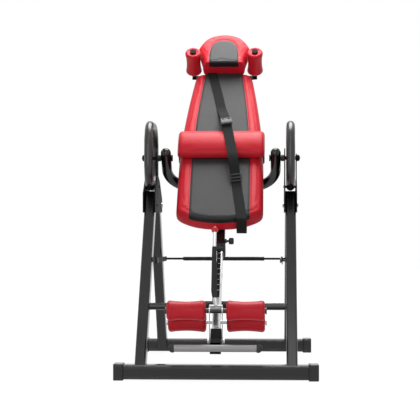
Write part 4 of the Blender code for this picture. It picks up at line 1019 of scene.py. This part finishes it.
def buildLeverGrip(finishes, foot, up):
    middle = midOf("lever_grip")[0]
    radius, half = lever["gripRadius"], lever["gripLength"] / 2
    soft, lip = lever["gripRounding"], lever["lip"]
    count = lever["ribs"] * lever["ribSteps"]
    corner = [(radius - soft, half), (radius - lip, half - lip), (radius, half - soft)]
    profile = list(corner)
    for step in range(1, count):
        wave = 0.5 - 0.5 * math.cos(2 * math.pi * lever["ribs"] * step / count)
        profile.append((radius - lever["rib"] * wave, (half - soft) * (1 - 2 * step / count)))
    profile += [(x, -z) for x, z in reversed(corner)]
    profile += [(lever["gripBore"], -half), (lever["gripBore"], half)]
    mesh = lathe("leverGrip", profile, 36, loop=True)
    for vert in mesh.vertices:
        vert.co.x += cranked(vert.co.z + (middle - foot).dot(up))
    piece = addPiece("leverGrip", mesh, finishes["gripFoam"], "ankle_clamp",
                     Matrix.Translation(middle) @ turnTo(up))
    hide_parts("lever_grip")
    print("lever: 4")


def redrawn(name, node, body, material, change):
    mesh = frame["nodes"][node].data.copy()
    for vert in mesh.vertices:
        vert.co = change(vert.co.copy())
    piece = addPiece(name, mesh, material, body, smooth=35)
    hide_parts(node)
    return piece


# foot bar: a little longer, in an open saddle, with tapered plugs for ends
footCap = {"collar": 0.55, "shoulder": 0.86, "tip": 0.42, "wall": 0.0028, "floor": -0.02, "rounding": 0.0015,
           "stretch": 0.009}


def openSaddle(mesh, axis):
    # cut the lug away in front of the bar
    back = Vector((0, midOf("foot_block")[0].y - axis.y, 0)).normalized()
    bm = bmesh.new()
    bm.from_mesh(mesh)
    cut = bmesh.ops.bisect_plane(bm, geom=bm.verts[:] + bm.edges[:] + bm.faces[:], dist=0.000001,
                                 plane_co=axis, plane_no=back, clear_inner=True)
    edges = [item for item in cut["geom_cut"] if isinstance(item, bmesh.types.BMEdge)]
    bmesh.ops.holes_fill(bm, edges=edges)
    bm.to_mesh(mesh)
    bm.free()


def buildFoot(finishes):
    axis, size = midOf("foot_bar")
    grow = 1 + 2 * footCap["stretch"] / size.x
    redrawn("footBar", "foot_bar", "boom", finishes["lacquer"], lambda co: Vector((co.x * grow, co.y, co.z)))
    block = redrawn("footBlock", "foot_block", "boom", finishes["dullPaint"], lambda co: co)
    openSaddle(block.data, axis)
    for side, sign in sides:
        middle, size = midOf("foot_cap_" + side)
        middle.x += sign * footCap["stretch"]
        radius, half, soft = size.z / 2, size.x / 2, footCap["rounding"]
        edge, tip = half * (2 * footCap["collar"] - 1), radius * footCap["tip"]
        bore, floor = radius - footCap["wall"], half * footCap["floor"]
        profile = [(bore, floor), (bore, -half), (radius - soft, -half), (radius, soft - half),
                   (radius, edge - soft), (radius - soft, edge), (radius * footCap["shoulder"], edge + soft),
                   (tip + soft, half - soft), (tip, half), (0, half), (0, floor)]
        mesh = lathe("footCap", profile, 40)
        piece = addPiece("footCap." + side, mesh, finishes["plastic"], "boom",
                         Matrix.Translation(middle) @ turnTo((sign, 0, 0)), 35)
        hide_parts("foot_cap_" + side)
    print("foot: 4")


# the front legs run on up to the handrails and end level
legs = {"gap": 0.0015, "footZone": 0.030, "topZone": 0.018}


def buildLegs(finishes):
    top = handrail["low"] - handrail["foam"] - legs["gap"]
    for side, _ in sides:
        node = "front_leg_" + side
        low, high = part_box(node)
        footLine, topLine = low[2] + legs["footZone"], high[2] - legs["topZone"]
        points = [vert.co for vert in frame["nodes"][node].data.vertices]
        feet = [co for co in points if co.z < footLine]
        tops = [co for co in points if co.z > topLine]
        run = (sum(tops, Vector()) / len(tops) - sum(feet, Vector()) / len(feet)).normalized()

        def raised(co):
            return co + run * (top - co.z) / run.z if co.z > topLine else co

        redrawn("frontLeg." + side, node, "frame", finishes["paint"], raised)
    print("front legs: 2")


# head bracket: arms narrowed behind the shoulder rollers
bracket = {"behind": 0.070, "clear": 0.050, "station": 0.557, "narrow": 0.55, "reach": 0.1305}


def buildBracket(finishes):
    def narrowed(co):
        place = toBed @ co
        if place.y > bracket["behind"] and abs(place.x) > bracket["clear"]:
            place.z = bracket["station"] + (place.z - rollers["shoulder"]["spot"][2]) * bracket["narrow"]
            place.x = math.copysign(min(abs(place.x), bracket["reach"]), place.x)
        return bedPlace @ place

    redrawn("headBracket", "head_bracket", "bed", finishes["dullPaint"], narrowed)
    print("head bracket: 1")


# cradle: the same bent tube, drawn finer
cradle = {"half": 0.204, "front": -0.026, "back": 0.1493, "bend": 0.090, "radius": 0.019, "inset": 0.0001}


def buildCradle(finishes):
    half, front, radius = cradle["half"], cradle["front"], cradle["radius"]
    line = bentLine(half, front, cradle["back"], cradle["bend"], 20)
    bm = bmesh.new()
    bm.from_mesh(pipe("cradle", line, radius, 8, filled=False))
    for sign in (-1, 1):
        end = Matrix.Translation((sign * half, front, 0)) @ Matrix.Rotation(math.pi / 2, 4, "X")
        bmesh.ops.create_uvsphere(bm, u_segments=36, v_segments=20, radius=radius - cradle["inset"],
                                  matrix=end)
    piece = addPiece("cradleTube", meshFrom(bm, "cradleTube"), finishes["paint"], "bed", bedPlace)
    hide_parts("cradle_tube")
    print("cradle: 1")


# height scale: a thin strip on the boom's face with plain ticks
scaleStrip = {"high": -0.380, "low": -0.600, "across": 0.0005, "width": 0.014, "thick": 0.0002,
              "face": 0.0949, "pitch": 0.025, "tick": 0.0016, "tickShare": 0.55, "tickAside": 0.12,
              "ink": 0.00008}


def buildScale(finishes):
    high, low, face = scaleStrip["high"], scaleStrip["low"], scaleStrip["face"]
    wide, thick, across = scaleStrip["width"], scaleStrip["thick"], scaleStrip["across"]
    bm = bmesh.new()
    addBlock(bm, (wide, thick, high - low), (across, face - thick / 2, (high + low) / 2))
    strip = addPiece("scaleStrip", meshFrom(bm, "scaleStrip"), finishes["stripPaint"], "boom", bedPlace, 35)
    bm = bmesh.new()
    count = int((high - low) / scaleStrip["pitch"])
    ink = scaleStrip["ink"]
    x, y = across + wide * scaleStrip["tickAside"], face - thick - ink / 2
    for step in range(count):
        station = high - (step + 0.5) * scaleStrip["pitch"]
        addBlock(bm, (wide * scaleStrip["tickShare"], ink, scaleStrip["tick"]), (x, y, station))
    ticks = addPiece("scaleTicks", meshFrom(bm, "scaleTicks"), finishes["tickPaint"], "boom", bedPlace, 35)
    print("scale:", count, "ticks")


# stage: white sweep, soft studio light
studio = {"floor": 9.0, "paper": (0.86, 0.86, 0.86), "ambient": 0.20, "shadow": 0.10, "near": 2.2,
          "white": 1.06, "target": (0, 0.1, 0.75),
          "lamps": (("overhead", (0.1, 0.45, 2.5), 1.5, 52), ("front", (-0.8, -3.8, 1.2), 2.4, 24),
                    ("low", (0.2, -1.9, 2.5), 1.2, 6))}


def seenRays(tree):
    # 1 for the rays that should meet white: camera, mirror and glass
    camera, glossy, through = (addNode(tree, "LightPath", give="Is " + kind + " Ray")
                               for kind in ("Camera", "Glossy", "Transmission"))
    return (camera + glossy + through).reckon("MINIMUM", 1.0)


def buildStage():
    world = bpy.data.worlds.new("studioWhite")
    world.use_nodes = True
    bpy.context.scene.world = world
    tree = world.node_tree
    sky = tree.nodes["Background"]
    plug(tree, sky.inputs["Color"], (1, 1, 1))
    plug(tree, sky.inputs["Strength"], studio["ambient"] + seenRays(tree) * (1 - studio["ambient"]))
    bm = bmesh.new()
    bmesh.ops.create_grid(bm, x_segments=1, y_segments=1, size=studio["floor"])
    floor = bpy.data.objects.new("studioFloor", meshFrom(bm, "studioFloor"))
    bpy.context.scene.collection.objects.link(floor)
    paper = Finish("floorPaper", Base_Color=studio["paper"], Roughness=0.9, Specular_IOR_Level=0.1)
    tree = paper.tree
    # shadows show near the object only, so that the far floor meets the wall without a line
    spot = paper.node("NewGeometry", give="Position")
    reach = paper.node("VectorMath", {"operation": "LENGTH"}, give="Value", s0=spot)
    near = (studio["near"] - reach).reckon("MAXIMUM", 0.0).reckon("MINIMUM", 1.0)
    mix = paper.node("MixShader", s0=seenRays(tree) * (1 - near * studio["shadow"]),
                     s1=Wire(tree, paper.shader.outputs[0]),
                     s2=paper.node("Emission", Strength=studio["white"]))
    plug(tree, tree.nodes["Material Output"].inputs["Surface"], mix)
    floor.data.materials.append(paper.material)
    for name, spot, size, watts in studio["lamps"]:
        lamp = bpy.data.lights.new(name, "AREA")
        lamp.shape = "DISK"
        lamp.size = size
        lamp.energy = watts
        holder = bpy.data.objects.new(name, lamp)
        holder.location = spot
        holder.rotation_euler = (Vector(studio["target"]) - Vector(spot)).to_track_quat("-Z", "Y").to_euler()
        bpy.context.scene.collection.objects.link(holder)
    bpy.context.scene.view_settings.view_transform = "Standard"
    print("stage set,", len(studio["lamps"]), "lamps")


# what each of the record's slots is painted with; plates and thin bars are duller, the base's edges softer
slotFinish = {"black_paint": "paint", "black_plastic": "plastic", "black_foam": "foam", "chrome": "chrome",
              "zinc": "zinc", "grey_paint": "lacquer", "red_vinyl": "redVinyl", "red_foam": "rollerSkin",
              "red_ball": "ball", "webbing": "webbing", "board_wood": "backing"}
ownFinish = {"dullPaint": ("apex_plate", "stay_frame", "head_bracket", "pivot_bolt", "foot_block"),
             "basePaint": ("front_base", "rear_base")}


def dressNodes(finishes):
    for part in frame["record"]["subparts"]:
        mesh = frame["nodes"][part["node"]].data
        mesh.materials.clear()
        finish = slotFinish[part["material_slot"]]
        for own, starts in ownFinish.items():
            if part["node"].startswith(starts):
                finish = own
        mesh.materials.append(finishes[finish])


finishes = {"paint": powderCoat(), "dullPaint": powderCoat("dullCoat", rough=0.55, gloss=0.06),
            "basePaint": powderCoat("baseCoat", rough=0.11, gloss=0.42, soften=0.013),
            "plastic": mouldedPlastic(), "foam": sleeveFoam(), "chrome": brightChrome(), "zinc": zincPlate(),
            "bucklePlastic": mouldedPlastic("bucklePlastic", (0.060, 0.060, 0.062), 0.30),
            "lacquer": greyLacquer(), "redVinyl": redVinyl(), "rollerSkin": rollerSkin(), "ball": ballGloss(),
            "webbing": wovenWebbing(), "backing": backingCloth(), "thread": sewingThread(),
            "satinChrome": brightChrome("satinChrome", (0.34, 0.34, 0.35), (0.52, 0.52, 0.53), 0.2),
            "stripPaint": powderCoat("stripPaint", (0.006, 0.006, 0.007), (0.010, 0.010, 0.011), 0.6, 0.05),
            "gripFoam": sleeveFoam("gripFoam", (0.006, 0.006, 0.0065), (0.013, 0.013, 0.014), 0.42, 0.25),
            "tickPaint": mouldedPlastic("tickPaint", (0.55, 0.55, 0.55), 0.4),
            "backPanel": panelVinyl("backPanel", backPanelMask, backrest["turn"], (0.028, 0.028, 0.029),
                                    (0.043, 0.043, 0.045)),
            "headPanel": panelVinyl("headPanel", headInsertMask, headrest["turn"], (0.038, 0.038, 0.040),
                                    (0.055, 0.055, 0.057))}
placeCamera()
buildStage()
dressNodes(finishes)
buildBackrest(finishes)
buildHeadrest(finishes)
buildLumbar(finishes)
buildBand(finishes)
buildBelt(finishes)
buildRollers(finishes)
buildHandrails(finishes)
buildFoamSleeves(finishes)
buildLever(finishes)
buildFoot(finishes)
buildLegs(finishes)
buildBracket(finishes)
buildCradle(finishes)
buildScale(finishes)
